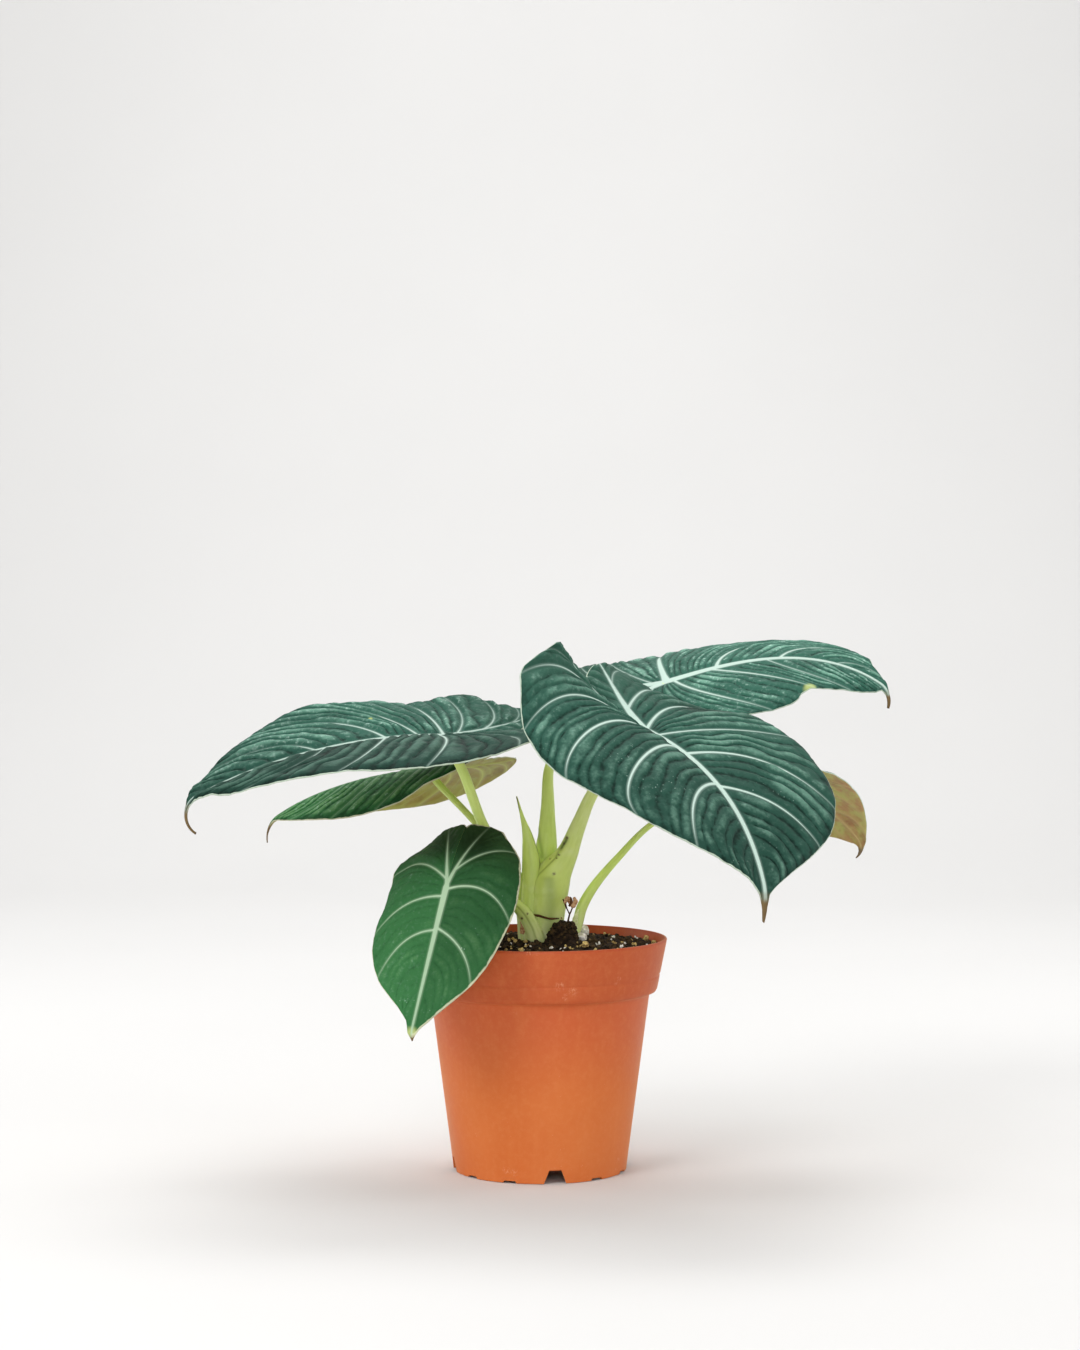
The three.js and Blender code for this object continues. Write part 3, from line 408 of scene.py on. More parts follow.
def pot_look():
    s = Shader("pot_plastic", Roughness=0.5, Specular_IOR_Level=0.22, Sheen_Weight=0.4, Sheen_Roughness=0.25,
               Sheen_Tint=srgb("#F0C48C"))
    place = s.place()
    height = s.node("ShaderNodeSeparateXYZ", {0: place}).outputs[2]
    cloud = s.noise(place, 26, 3)
    streak = s.noise(s.stretch(place, (1.0, 1.0, 0.12)), 180, 3)
    grain = s.noise(place, 1500, 2)
    s.color = srgb("#C9682F")
    s.coat(s.ramp(cloud, 0.3, 0.75), "#D07239")
    s.coat(s.ramp(height, 0.03, 0.074), "#C15B30")
    s.coat(s.ramp(height, 0.0752, 0.0775, 0.0, 0.85), "#B45229")
    s.coat(s.ramp(streak, 0.5, 0.8, 0.0, 0.14), "#D8854C")
    pitted = s.ramp(s.noise(place, 420, 4, 0.7), 0.4, 0.75, 0.0, 0.14)
    s.coat(pitted, "#D98D58")
    s.coat(s.ramp(s.attribute("rim"), 0.0, 1.0, 0.0, 0.5), "#A94324")
    low_down = s.ramp(height, 0.07, 0.03, 0.25, 1.0)
    dots = s.times(s.ramp(s.cells(place, 460), 0.12, 0.04), s.ramp(s.noise(place, 75, 2), 0.5, 0.64))
    marks = s.times(dots, s.times(low_down, 0.5))
    scuff_and_highlight_grain = s.ramp(s.noise(s.stretch(place, (1.0, 1.0, 0.6)), 1300, 3, 0.7), 0.45, 0.7, 0.0, 0.55)
    # Each spot lightens the plastic: scuffs, and the two on the rim's front a painted highlight.
    for x, y, z, reach in SCUFFS_AND_RIM_HIGHLIGHT:
        gap = s.node("ShaderNodeVectorMath", {0: place, 1: (x * MM, y * MM, z * MM)}, operation="DISTANCE")
        spot = s.ramp(gap.outputs["Value"], reach * MM, 0.4 * reach * MM)
        marks = s.math("MAXIMUM", marks, s.times(spot, scuff_and_highlight_grain))
    s.coat(marks, "#DD9C75")
    s.set("Roughness", s.ramp(cloud, 0.3, 0.7, 0.45, 0.58))
    return s.done(s.plus(grain, s.times(streak, 0.8)), 0.00008, 0.4)


def soil_look(name, dark, light, scale):
    s = Shader(name, Roughness=0.92, Specular_IOR_Level=0.25)
    place = s.place()
    lump = s.noise(place, scale, 4, 0.65)
    s.color = srgb(dark)
    s.coat(s.ramp(lump, 0.35, 0.7), light)
    warm = s.noise(place, 140, 2)
    s.coat(s.ramp(warm, 0.58, 0.75, 0.0, 0.5), "#4E3B20")
    return s.done(s.plus(lump, s.noise(place, 2400, 3)), 0.0005, 0.9)


def grain_look(name, base, shade):
    s = Shader(name, Roughness=0.8, Specular_IOR_Level=0.3)
    place = s.place()
    pits = s.noise(place, 900, 4, 0.7)
    s.color = srgb(shade)
    s.coat(s.ramp(pits, 0.35, 0.6), base)
    return s.done(pits, 0.0003, 0.8)


VELVET = leaf_top("velvet_top", "#274B3F", "#587E6E", "#0E2820", "#B6CCC1", "#294A3D", "#C6D6C2")
GREEN = leaf_top("green_top", "#295530", "#4A7149", "#15391D", "#ABC6A6", "#2F4427", "#CFCFB0")
UNDER_OLIVE = leaf_underside("olive_under", "#9A9A48", "#94843A", "#75652C", "#B2BA5C")
UNDER_RED = leaf_underside("red_under", "#A0A258", "#9B7148", "#7F5236", "#AB9760")
STALK = stalk_look("stalk", "#DCE8A8", "#C6DC74", "#C8DD80", "#AFC858")
SHEATH = stalk_look("sheath", "#DDE5AC", "#C6D974", "#D0DE92", "#B4C85E")
TERRACOTTA = pot_look()
EARTH = soil_look("earth", "#120C07", "#3E2E20", 420)
CLUMPS = soil_look("clumps", "#140E07", "#55432A", 500)
PERLITE = grain_look("perlite", "#FCFAF4", "#D6D0C2")
CHIPS = grain_look("chips", "#DCC27E", "#7E5F34")
DRY = grain_look("dry_tissue", "#5C3B1C", "#2E1B0C")
HUSK = grain_look("husk", "#C9A27A", "#8A5A33")
PALE = grain_look("pale_sheath", "#E3E9B4", "#C6D48C")


# ---------------- mesh helpers
def new_object(name, data):
    item = bpy.data.objects.new(name, data)
    bpy.context.scene.collection.objects.link(item)
    return item


def add_piece(name, points, faces, materials, attributes=(), face_material=None, smooth=True):
    """One object from points in mm. attributes maps a name to one value, or one vector, per point."""
    mesh = bpy.data.meshes.new(name)
    mesh.from_pydata((np.asarray(points, float) * MM).tolist(), [], [list(map(int, f)) for f in faces])
    for material in materials:
        mesh.materials.append(material)
    for key, values in dict(attributes).items():
        values = np.asarray(values, np.float32)
        kind = "FLOAT_VECTOR" if values.ndim == 2 else "FLOAT"
        layer = mesh.attributes.new(key, kind, "POINT")
        layer.data.foreach_set("vector" if values.ndim == 2 else "value", values.ravel())
    if face_material is not None:
        mesh.polygons.foreach_set("material_index", np.asarray(face_material, np.int32))
    mesh.polygons.foreach_set("use_smooth", [smooth] * len(mesh.polygons))
    mesh.validate()
    mesh.update()
    piece = new_object(name, mesh)
    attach(piece, "root")
    return piece


def unit(x):
    """x, held between 0 and 1."""
    return np.clip(x, 0, 1)


def norm(vectors):
    return np.linalg.norm(vectors, axis=-1)


def direction(vectors):
    return vectors / norm(vectors)[..., None]


def columns_at(x, places, table):
    """Every column of a table, read at x between the rows' places."""
    return [np.interp(x, places, column) for column in table.T]


def value_noise(x, y, seed=0):
    """Smooth noise from -1 to 1 on a grid of unit cells."""
    xi, yi = np.floor(x).astype(np.int64), np.floor(y).astype(np.int64)
    u, v = x - xi, y - yi
    u, v = u * u * (3 - 2 * u), v * v * (3 - 2 * v)

    def corner(i, j):
        h = (i * 374761393 + j * 668265263 + seed * 974634777) & 0xFFFFFFFF
        h = ((h ^ (h >> 13)) * 1274126177) & 0xFFFFFFFF
        return ((h ^ (h >> 16)) & 0xFFFF) / 32767.5 - 1
    low = corner(xi, yi) * (1 - u) + corner(xi + 1, yi) * u
    high = corner(xi, yi + 1) * (1 - u) + corner(xi + 1, yi + 1) * u
    return low * (1 - v) + high * v


# ---------------- blades
def cubic(knots, t):
    a, b, c, d = (np.array(k, float) for k in knots)
    t = np.asarray(t, float)[..., None]
    return (1 - t) ** 3 * a + 3 * (1 - t) ** 2 * t * b + 3 * (1 - t) * t * t * c + t ** 3 * d


def outline_at(blade, m):
    """The flat outline of one half, from the notch between the lobes to the end of the drip tip."""
    s, drip = blade["sinus"], blade["drip"][0]
    chain = [
        [(-s, 0), (-s - 0.06, 0.03), (-0.45, 0.07), (-LOBE, 0.15)],
        [(-LOBE, 0.15), (-0.5, 0.26), (-0.36, 0.42), (-0.16, 0.455)],
        [(-0.16, 0.455), (0.1, 0.5), (0.42, 0.47), (0.66, 0.3)],
        [(0.66, 0.3), (0.83, 0.18), (0.95, 0.045), (1, 0.018)],
        [(1, 0.018), (1 + 0.3 * drip, 0.01), (1 + 0.7 * drip, 0.004), (1 + drip, 0)]]
    m = np.asarray(m, float)
    low = np.clip(np.floor(m), 0, 4).astype(int)
    out = np.zeros(m.shape + (2,))
    for k, knots in enumerate(chain):
        here = low == k
        out[here] = cubic(knots, (m - k)[here])
    return out


def spine_at(blade, s):
    """The rib of a back lobe when negative, the midrib up to the tip, then the drip tip."""
    s = np.asarray(s, float)
    x = np.where(s > 1, 1 + (s - 1) * blade["drip"][0], s)
    return np.stack([x, np.where(s < 0, -0.25 * s + 0.13 * s * s, 0)], -1)


def vein_table(ribs, row):
    table = np.array(ribs + TAIL)
    return columns_at(row, np.arange(len(table)), table)


def outer_points(blade, ribs, row, reach):
    """Flat points on vein-like curves; row and reach are arrays of one shape."""
    start_at, end_at, angle, pull, _ = vein_table(ribs, row)
    start, end = spine_at(blade, start_at), outline_at(blade, end_at)
    span = norm(end - start) * pull
    away = np.stack([np.cos(angle * RAD), np.sin(angle * RAD)], -1) * span[..., None]
    t = reach[..., None]
    return (1 - t) ** 2 * start + 2 * (1 - t) * t * (start + away) + t * t * end


def inner_points(blade, s, reach):
    """Flat points between a back lobe's rib and the midline or the notch."""
    share = s / -LOBE
    middle = np.stack([-blade["sinus"] * share / SPLIT, 0 * share], -1)
    notch = outline_at(blade, unit((share - SPLIT) / (1 - SPLIT)))
    target = np.where((share < SPLIT)[..., None], middle, notch)
    start = spine_at(blade, s)
    return start + (target - start) * reach[..., None]


# Places along the midrib where a blade's frame is kept, in blade lengths. The drip tip bends from DRIP_FROM
# on, and CURL_REACH is the distance over which a half turns by its curl.
STATIONS = np.linspace(-0.55, 1.15, 341)
DRIP_FROM = 0.95
CURL_REACH = 0.45


def blade_frames(blade):
    """The midrib's places in mm at the stations, and the sideways and upward directions there."""
    s = STATIONS
    drip_length, drip_bend = blade["drip"]

    def poly(c):
        return c[0] + c[1] * s + c[2] * s * s
    back = (blade["pitch"][0],) + tuple(blade["back_pitch"])
    into = np.maximum(0, s - DRIP_FROM) / (0.05 + drip_length)
    pitch = (np.where(s < 0, poly(back), poly(blade["pitch"])) + into * drip_bend) * RAD
    heading = poly(blade["heading"]) * RAD
    roll = (poly(blade["roll"]) * RAD)[:, None]
    ahead = np.stack([np.cos(pitch) * np.cos(heading), np.cos(pitch) * np.sin(heading), np.sin(pitch)], -1)
    level = np.stack([-np.sin(heading), np.cos(heading), 0 * heading], -1)
    above = np.cross(ahead, level)
    side = level * np.cos(roll) + above * np.sin(roll)
    up = above * np.cos(roll) - level * np.sin(roll)
    step = (s[1] - s[0]) * blade["length"]
    spot = np.concatenate([[np.zeros(3)], np.cumsum((ahead[1:] + ahead[:-1]) / 2 * step, 0)])
    spot += np.array(blade["at"], float) - columns_at(0, s, spot)
    return spot, side, up


def bend_sheet(blade, flat, hand):
    """Flat points of one half, in blade lengths, on the bent middle surface, with its normals."""
    spot, side, up = blade["frames"]
    (fold_0, fold_1), (curl_0, curl_1) = blade["left" if hand > 0 else "right"]

    def pick(x, table):
        return np.stack(columns_at(x, STATIONS, table), -1)

    def place(x, y):
        fold = (fold_0 + fold_1 * x) * RAD
        curl = (curl_0 + curl_1 * np.minimum(x, 0)) * RAD / CURL_REACH
        curl = np.where(np.abs(curl) < 1e-4, 1e-4, curl)
        turned = fold + curl * np.maximum(y, 0) * blade["breadth"]
        away = (np.sin(turned) - np.sin(fold)) / curl * blade["length"]
        rise = (np.cos(fold) - np.cos(turned)) / curl * blade["length"]
        return pick(x, spot) + hand * away[..., None] * pick(x, side) + rise[..., None] * pick(x, up)
    x, y, h = flat[..., 0], flat[..., 1], 0.003
    along_x = place(x + h, y) - place(x - h, y)
    along_y = (place(x, y + h) - place(x, np.maximum(y - h, 0))) * hand
    normal = direction(np.cross(along_x, along_y))
    own = unit(y * blade["length"] / 1.5)[..., None]
    normal = own * normal + (1 - own) * pick(x, up)
    return place(x, y), direction(normal)


def vein_gap(points, vein_lines):
    """Distance in mm from flat points to the nearest vein, and that vein's half width there."""
    best = np.full(points.shape[:-1], 1e9)
    wide = np.zeros(points.shape[:-1])
    for line, widths in vein_lines:
        for k in range(len(line) - 1):
            a, d = line[k], line[k + 1] - line[k]
            t = unit(((points - a) @ d) / max(d @ d, 1e-12))
            gap = norm(points - a - t[..., None] * d)
            w = widths[k] + (widths[k + 1] - widths[k]) * t
            closer = gap - w < best - wide
            best, wide = np.where(closer, gap, best), np.where(closer, w, wide)
    return best, wide


# Points of a side vein, and the one at which the side folds between two veins are counted.
VEIN_POINTS, MEASURED_AT = 25, 14
# The strip inside a back lobe, in blade lengths, and the gap between its folds in mm.
STRIP = dict(length=0.26, width=0.08, folds_over=0.055, gap=3.2)
# Half a blade's thickness in mm at its margin and farther in, and how much of the relief shows underneath.
SHEET = dict(margin=0.18, body=0.22, below=0.8)
# The distance in mm that stands for no margin near, and that over which points are joined.
FAR_OFF, WELD = 20.0, 0.02
# Heights of the relief in mm.
SWELL = dict(pillow=0.5, vein=0.5, crinkle=0.07, bumps=0.5, wave=0.4)


def fold_relief(row, reach, flat_mm, gap, counts, last_reach, seed):
    """The tissue's form from 0 to 1: side folds with round crests and sharp grooves, and fine crinkles."""
    band_start = np.floor(row)
    share = row - band_start
    count = counts[np.minimum(band_start.astype(int), len(counts) - 1)]
    x, y = flat_mm[..., 0], flat_mm[..., 1]
    sway = 0.3 * value_noise(x / 10, y / 10, seed) + 0.07 * value_noise(x / 4, y / 4, seed + 1)
    uneven = 0.34 * value_noise(share * count * 0.8, 5.3 * band_start + reach * 1.2, seed + 8)
    phase = share * count + (sway + uneven) * unit(4 * share) * unit(4 - 4 * share)
    crest = np.abs(np.sin(np.pi * phase)) ** 0.7
    band = np.floor(phase) + 17 * band_start
    strength = 0.8 + 0.34 * value_noise(band * 0.77 + 3.1, reach * 3.5, seed + 2)
    bead = 1 + 0.16 * value_noise(band * 1.3, reach * 11, seed + 6)
    far = np.clip((last_reach + 0.22 - reach) / 0.3, 0.75, 1)
    near = unit(0.12 + reach / 0.13) * np.clip((1.02 - reach) / 0.12, 0.2, 1)
    clear = unit(gap / 2.4) ** 1.1
    folds = crest * strength * bead * near
    crinkle = value_noise(x / 1.3 + 40, y / 1.3 + 7, seed + 3) + 0.5 * value_noise(x / 0.8, y / 0.8, seed + 4)
    bumps = value_noise(x / 3.1, y / 3.1, seed + 7) * (1.25 - far)
    folds = folds * far + 0.5 * (1 - far)
    return folds, clear, crinkle * clear, bumps * clear


def spot_mask(spots, hand, flat):
    """How strongly each flat point lies in one half's spots: half, s, y, radius."""
    mask = np.zeros(flat.shape[:-1])
    for spot_hand, s, y, radius in spots:
        if spot_hand == hand:
            away = np.hypot(flat[..., 0] - s, flat[..., 1] - y)
            mask = np.maximum(mask, unit(1.5 - away / radius))
    return mask


def build_blade(name, blade, top, under, slot):
    """A whole blade: each half has a fine upper and a coarse lower sheet, and a strip inside its lobe."""
    blade["frames"] = blade_frames(blade)
    size = np.array([blade["length"], blade["length"] * blade["breadth"]])
    points, faces, face_material = [], [], []
    values = {}
    total = 0

    def add_grid(grid, flip, material):
        nonlocal total
        place, attributes = grid
        rows, columns = place.shape[:2]
        points.append(place.reshape(-1, 3))
        for key, value in attributes.items():
            values.setdefault(key, []).append(value.reshape(-1))
        index = total + np.arange(rows * columns).reshape(rows, columns)
        a, b, c, d = index[:-1, :-1], index[1:, :-1], index[1:, 1:], index[:-1, 1:]
        quads = np.stack([a, b, c, d] if flip else [a, d, c, b], -1).reshape(-1, 4)
        faces.extend(quads.tolist())
        face_material.extend([material] * len(quads))
        total += rows * columns
        return index

    def close_edge(upper, lower, flip):
        """Joins a fine edge to the coarse one below it."""
        for i in range(0, len(upper) - 1, 2):
            j = i // 2
            for tri in ([upper[i], upper[i + 1], lower[j]], [upper[i + 1], upper[i + 2], lower[j + 1]],
                        [upper[i + 1], lower[j + 1], lower[j]]):
                faces.append(tri[::-1] if flip else tri)
                face_material.append(0)

    for half_index, (side_name, hand) in enumerate((("left", 1), ("right", -1))):
        ribs = rib_rows(name, side_name)
        last = len(ribs) + 1
        t = np.linspace(0, 1, VEIN_POINTS)
        lines = [outer_points(blade, ribs, np.full(VEIN_POINTS, float(k)), t) * size for k in range(last + 1)]
        counts, steps = [], []
        for low, high in zip(lines, lines[1:]):
            gaps = norm(low - high)
            counts.append(max(2, round(gaps[MEASURED_AT] / blade["folds"]["gap"])))
            steps.append(2 * max(2, math.ceil(gaps.max() / blade["spacing"] / 2)))
        rows = np.concatenate([np.linspace(k, k + 1, n, endpoint=False) for k, n in enumerate(steps)]
                              + [[last]])
        reach_length = max(norm(np.diff(line, axis=0)).sum() for line in lines)
        columns = 2 * math.ceil(reach_length / blade["spacing"] / 2) + 1
        reach = np.linspace(0, 1, columns) ** 1.06
        row_grid, reach_grid = np.meshgrid(rows, reach, indexing="ij")
        flat = outer_points(blade, ribs, row_grid, reach_grid)
        inner_s = np.linspace(0, LOBE, 2 * math.ceil(STRIP["length"] * size[0] / blade["spacing"]) + 1)
        inner_reach = np.linspace(0, 1, 2 * math.ceil(STRIP["width"] * size[0] / blade["spacing"]) + 1)
        s_grid, across_grid = np.meshgrid(-inner_s, inner_reach, indexing="ij")
        inner_flat = inner_points(blade, s_grid, across_grid)

        spine_s = np.linspace(-LOBE, 2, 90)
        spine_line = spine_at(blade, spine_s) * size
        midrib = blade["midrib"]
        spine_width = np.where(spine_s < 0, blade["costa"][0] * (1 + spine_s / blade["costa"][1]),
                               midrib * (1 - np.minimum(spine_s, 1) * (0.9 - 0.25 * np.minimum(spine_s, 1))))
        vein_lines = [(spine_line, spine_width)]
        for k, rib in enumerate(ribs):
            if rib[4] > 0:
                taper = np.interp(t, [0, 0.12, 0.6, 0.86, 1], [1.7, 1.15, 0.7, 0.15, -0.4])
                vein_lines.append((lines[k], rib[4] * taper))

        for part, (flat_part, row_part, reach_part) in enumerate((
                (flat, row_grid, reach_grid), (inner_flat, s_grid * -9 + 20, across_grid))):
            flat_mm = flat_part * size
            gap, half = vein_gap(flat_mm, vein_lines)
            signed = gap - half
            clear = np.maximum(signed, 0)
            seed = 11 + 31 * part + (5 if hand > 0 else 0) + sum(map(ord, name)) % 97
            tall, last_reach = blade["folds"][side_name]
            strip_count = max(2, round(STRIP["folds_over"] * size[0] / STRIP["gap"]))
            fold_counts = np.array(counts) if part == 0 else np.full(40, strip_count)
            fold_reach = reach_part if part == 0 else 0.15 + 0.6 * reach_part
            folds, apart, crinkle, bumps = fold_relief(row_part, fold_reach, flat_mm, clear, fold_counts,
                                                       last_reach, seed)
            pillow = 1 - np.exp(-clear / 2.6)
            wave = value_noise(flat_mm[..., 0] / 9, flat_mm[..., 1] / 9, seed + 5) * unit(clear / 4)
            fade = np.ones_like(row_part)
            if part == 0:
                fade = unit((last - 1 - row_part) / 0.6)
            edge = np.full(row_part.shape, FAR_OFF)
            if part == 0:
                length = norm(np.diff(flat_mm, axis=1))
                edge = np.concatenate([np.cumsum(length[:, ::-1], 1)[:, ::-1], np.zeros((len(length), 1))], 1)
            else:
                notch = s_grid <= -SPLIT * LOBE
                span = norm(flat_mm[:, -1:] - flat_mm)
                edge = np.where(notch, span, FAR_OFF)
            inside = unit(edge / 2.5)
            rib_top = unit(1 - (gap / np.maximum(half + 0.35, 0.05)) ** 2) ** 0.6 * unit(half / 0.5)
            own = unit(flat_mm[..., 1] / 2) if part == 1 else 1
            folds = 0.5 + own * (folds - 0.5)
            crinkle, bumps, wave = own * crinkle, own * bumps, own * wave
            lift = fade * (SWELL["pillow"] * pillow * (0.4 + 0.6 * inside) + tall * folds * apart
                           + SWELL["crinkle"] * crinkle + SWELL["bumps"] * bumps
                           + SWELL["wave"] * wave * inside)
            lift = lift + SWELL["vein"] * rib_top * unit(0.55 + 0.4 * half)
            middle, normal = bend_sheet(blade, flat_part, hand)
            if part == 0 and side_name in SHIFTS.get(name, ()):
                knots = np.array(SHIFTS[name][side_name])
                at = vein_table(ribs, row_part)[1]
                for axis, column in ((0, 1), (2, 2)):
                    middle[..., axis] += np.interp(at, knots[:, 0], knots[:, column]) * reach_part ** 3
            dust, shade, lime = (spot_mask(blade["spots"].get(kind, ()), hand, flat_part)
                                 for kind in ("dust", "shade", "lime"))
            # Painted light and shade: the half's colour is made lighter or darker from the lobe to the tip,
            # and darker in its shade spots.
            tone = np.interp(flat_part[..., 0], [-0.35, 0.2, 0.9], blade["tone"][half_index])
            tone = tone * (1 - 0.5 * shade)
            thick = SHEET["margin"] + SHEET["body"] * unit(edge / 2)
            rib_low = unit(1 - (gap / (np.maximum(half, 0.1) * 1.5)) ** 2) * np.maximum(half, 0) * 1.1
            upper = middle + normal * (lift + thick)[..., None]
            lower = middle + normal * (SHEET["below"] * lift - thick - rib_low)[..., None]
            drip = fade * 0
            if part == 0:
                near_tip = unit((0.03 - (1 - flat_part[..., 0])) / 0.03)
                drip = unit(row_part - (last - 1) - 0.1) + near_tip * 0.25
            # The relief also goes into the colour, as painted shade in the grooves and painted highlight on
            # the crests, as strong as the blade's fold contrast.
            relief = (folds - 0.45) * apart + 0.12 * crinkle + 0.3 * bumps
            ridge = np.clip(0.45 + blade["fold_shade_paint"] * relief, 0, 1.2)
            pale = np.interp(flat_part[..., 0], [-0.4, 0, 1], blade["pale"])
            # Painted highlight strength for the glints on the crests, one per half.
            painted_glint = tone * 0 + blade["painted_glint"][half_index]
            attributes = dict(vein=signed, pale=pale, dust=dust, lime=lime, painted_glint=painted_glint, tone=tone,
                              ridge=ridge * fade + (1 - fade) * 0.5, edge=edge / blade["margin"][half_index],
                              drip=drip, station=flat_part[..., 0])
            flip = (hand > 0) == (part == 1)
            top_index = add_grid((upper, attributes), not flip, 0)
            coarse = {key: value[::2, ::2] for key, value in attributes.items()}
            low_index = add_grid((lower[::2, ::2], coarse), flip, 1)
            if part == 0:
                close_edge(top_index[:, -1], low_index[:, -1], hand < 0)
            else:
                keep = int(np.argmax(inner_s >= SPLIT * LOBE - 1e-6)) // 2 * 2
                close_edge(top_index[keep:, -1], low_index[keep // 2:, -1], hand > 0)
    values = {key: np.concatenate(value) for key, value in values.items()}
    piece = add_piece(name + "_leaf", np.concatenate(points), faces, [top, under], values,
                      face_material)
    mesh = bmesh.new()
    mesh.from_mesh(piece.data)
    bmesh.ops.remove_doubles(mesh, verts=mesh.verts, dist=WELD * MM)
    mesh.to_mesh(piece.data)
    mesh.free()
    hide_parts(name)


for blade_name, blade in BLADES.items():
    is_green = blade_name in ("blade_back_left", "blade_front_low")
    build_blade(blade_name, {**PLAIN_BLADE, **blade}, *((GREEN, UNDER_OLIVE, "green_leaf") if is_green
                                                        else (VELVET, UNDER_RED, "velvet_leaf")))


# ---------------- stalks
# Sides of a tube and its steps from section to section, for stalks with seams, without, and for scraps.
FINE, COARSE, THIN = (96, 18), (48, 12), (16, 10)


def smooth_path(sections, steps):
    """Catmull-Rom through the sections, each with all its five numbers."""
    p = np.array(sections, float)
    p = np.vstack([2 * p[0] - p[1], p, 2 * p[-1] - p[-2]])
    out = []
    for k in range(1, len(p) - 2):
        t = np.linspace(0, 1, steps, endpoint=False)[:, None]
        a, b, c, d = p[k - 1], p[k], p[k + 1], p[k + 2]
        out.append(0.5 * ((2 * b) + (c - a) * t + (2 * a - 5 * b + 4 * c - d) * t ** 2
                          + (3 * b - a - 3 * c + d) * t ** 3))
    return np.vstack(out + [p[-2:-1]])


def ring_faces(index):
    """Quads between rings of points that close on themselves."""
    nxt = np.roll(index, -1, 1)
    return np.stack([index[:-1], nxt[:-1], nxt[1:], index[1:]], -1).reshape(-1, 4).tolist()


def tube(sections, sides, steps):
    """Points of a tube ring by ring, its faces, its rings' centres and angles, and the way along it in mm."""
    path = smooth_path(sections, steps)
    centre, half = path[:, :3], np.maximum(path[:, 3:], 0.1)
    ahead = direction(np.gradient(centre, axis=0))
    across = direction(np.cross([0, 1, 0], ahead))
    depth = np.cross(ahead, across)
    angle = np.linspace(0, 2 * np.pi, sides, endpoint=False)
    out = ((half[:, :1] * np.cos(angle))[..., None] * across[:, None]
           + (half[:, 1:] * np.sin(angle))[..., None] * depth[:, None])
    index = np.arange(len(path) * sides).reshape(len(path), sides)
    faces = ring_faces(index)
    faces += [index[0, ::-1].tolist(), index[-1].tolist()]
    along = np.concatenate([[0], np.cumsum(norm(np.diff(centre, axis=0)))])
    return centre, out, faces, angle, along


def seam_marks(name, ring, front):
    """How far each point is pushed out by the stalk's seams, its painted shade along them, and its brown
    paint.
    """
    push, dark, brown = (np.zeros(ring.shape[:2]) for _ in range(3))
    x, z = ring[..., 0], ring[..., 2]
    for seam in SEAMS.get(name, ()):
        line = np.array(seam["line"])[::-1]
        away = x - np.interp(z, line[:, 1], line[:, 0])
        ends = unit((z - line[0, 1]) / 1.5) * unit((line[-1, 1] - z) / 1.5) * front
        near = np.exp(-(away / seam["width"]) ** 2) * ends
        right = 1 / (1 + np.exp(-away / 0.18)) * np.exp(-np.maximum(away, 0) / 5)
        push += seam["step"] * right * ends - seam["groove"] * near
        dark, brown = np.maximum(dark, seam["dark"] * near), np.maximum(brown, seam["brown"] * near)
    for spot_x, spot_z, radius in SPOTS.get(name, ()):
        spot = unit(1.5 - np.hypot(x - spot_x, z - spot_z) / radius) * front
        brown = np.maximum(brown, spot)
    return push, dark, brown


def build_stalk(name, sections, material, sides, steps):
    """A stalk or sheath with its seams, and the coordinates its streaks follow."""
    centre, out, faces, angle, along = tube(sections, sides, steps)
    seed = sum(map(ord, name)) % 89
    out = out * (1 + 0.018 * value_noise(angle[None, :] * 3, along[:, None] * 0.02, seed))[..., None]
    ring = centre[:, None] + out
    facing = out / np.maximum(np.linalg.norm(out, axis=-1, keepdims=True), 0.01)
    push, dark, brown = seam_marks(name, ring, facing[..., 1] < 0.25)
    points = (ring + facing * push[..., None]).reshape(-1, 3)
    flat_angle, flat_along = (grid.ravel() for grid in np.meshgrid(angle, along))
    skin = np.stack([np.cos(flat_angle) + seed, np.sin(flat_angle), flat_along], -1)
    attributes = dict(along=np.maximum(points[:, 2] - SOIL["edge"], 0), skin=skin, dark=dark.ravel(),
                      brown=brown.ravel())
    piece = add_piece(name + "_stalk", points, faces, [material], attributes)
    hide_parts(name)


for stalk_name, sections in STALKS.items():
    build_stalk(stalk_name, sections, SHEATH if stalk_name == "petiole_front_right" else STALK,
                *(FINE if stalk_name in SEAMS else COARSE))


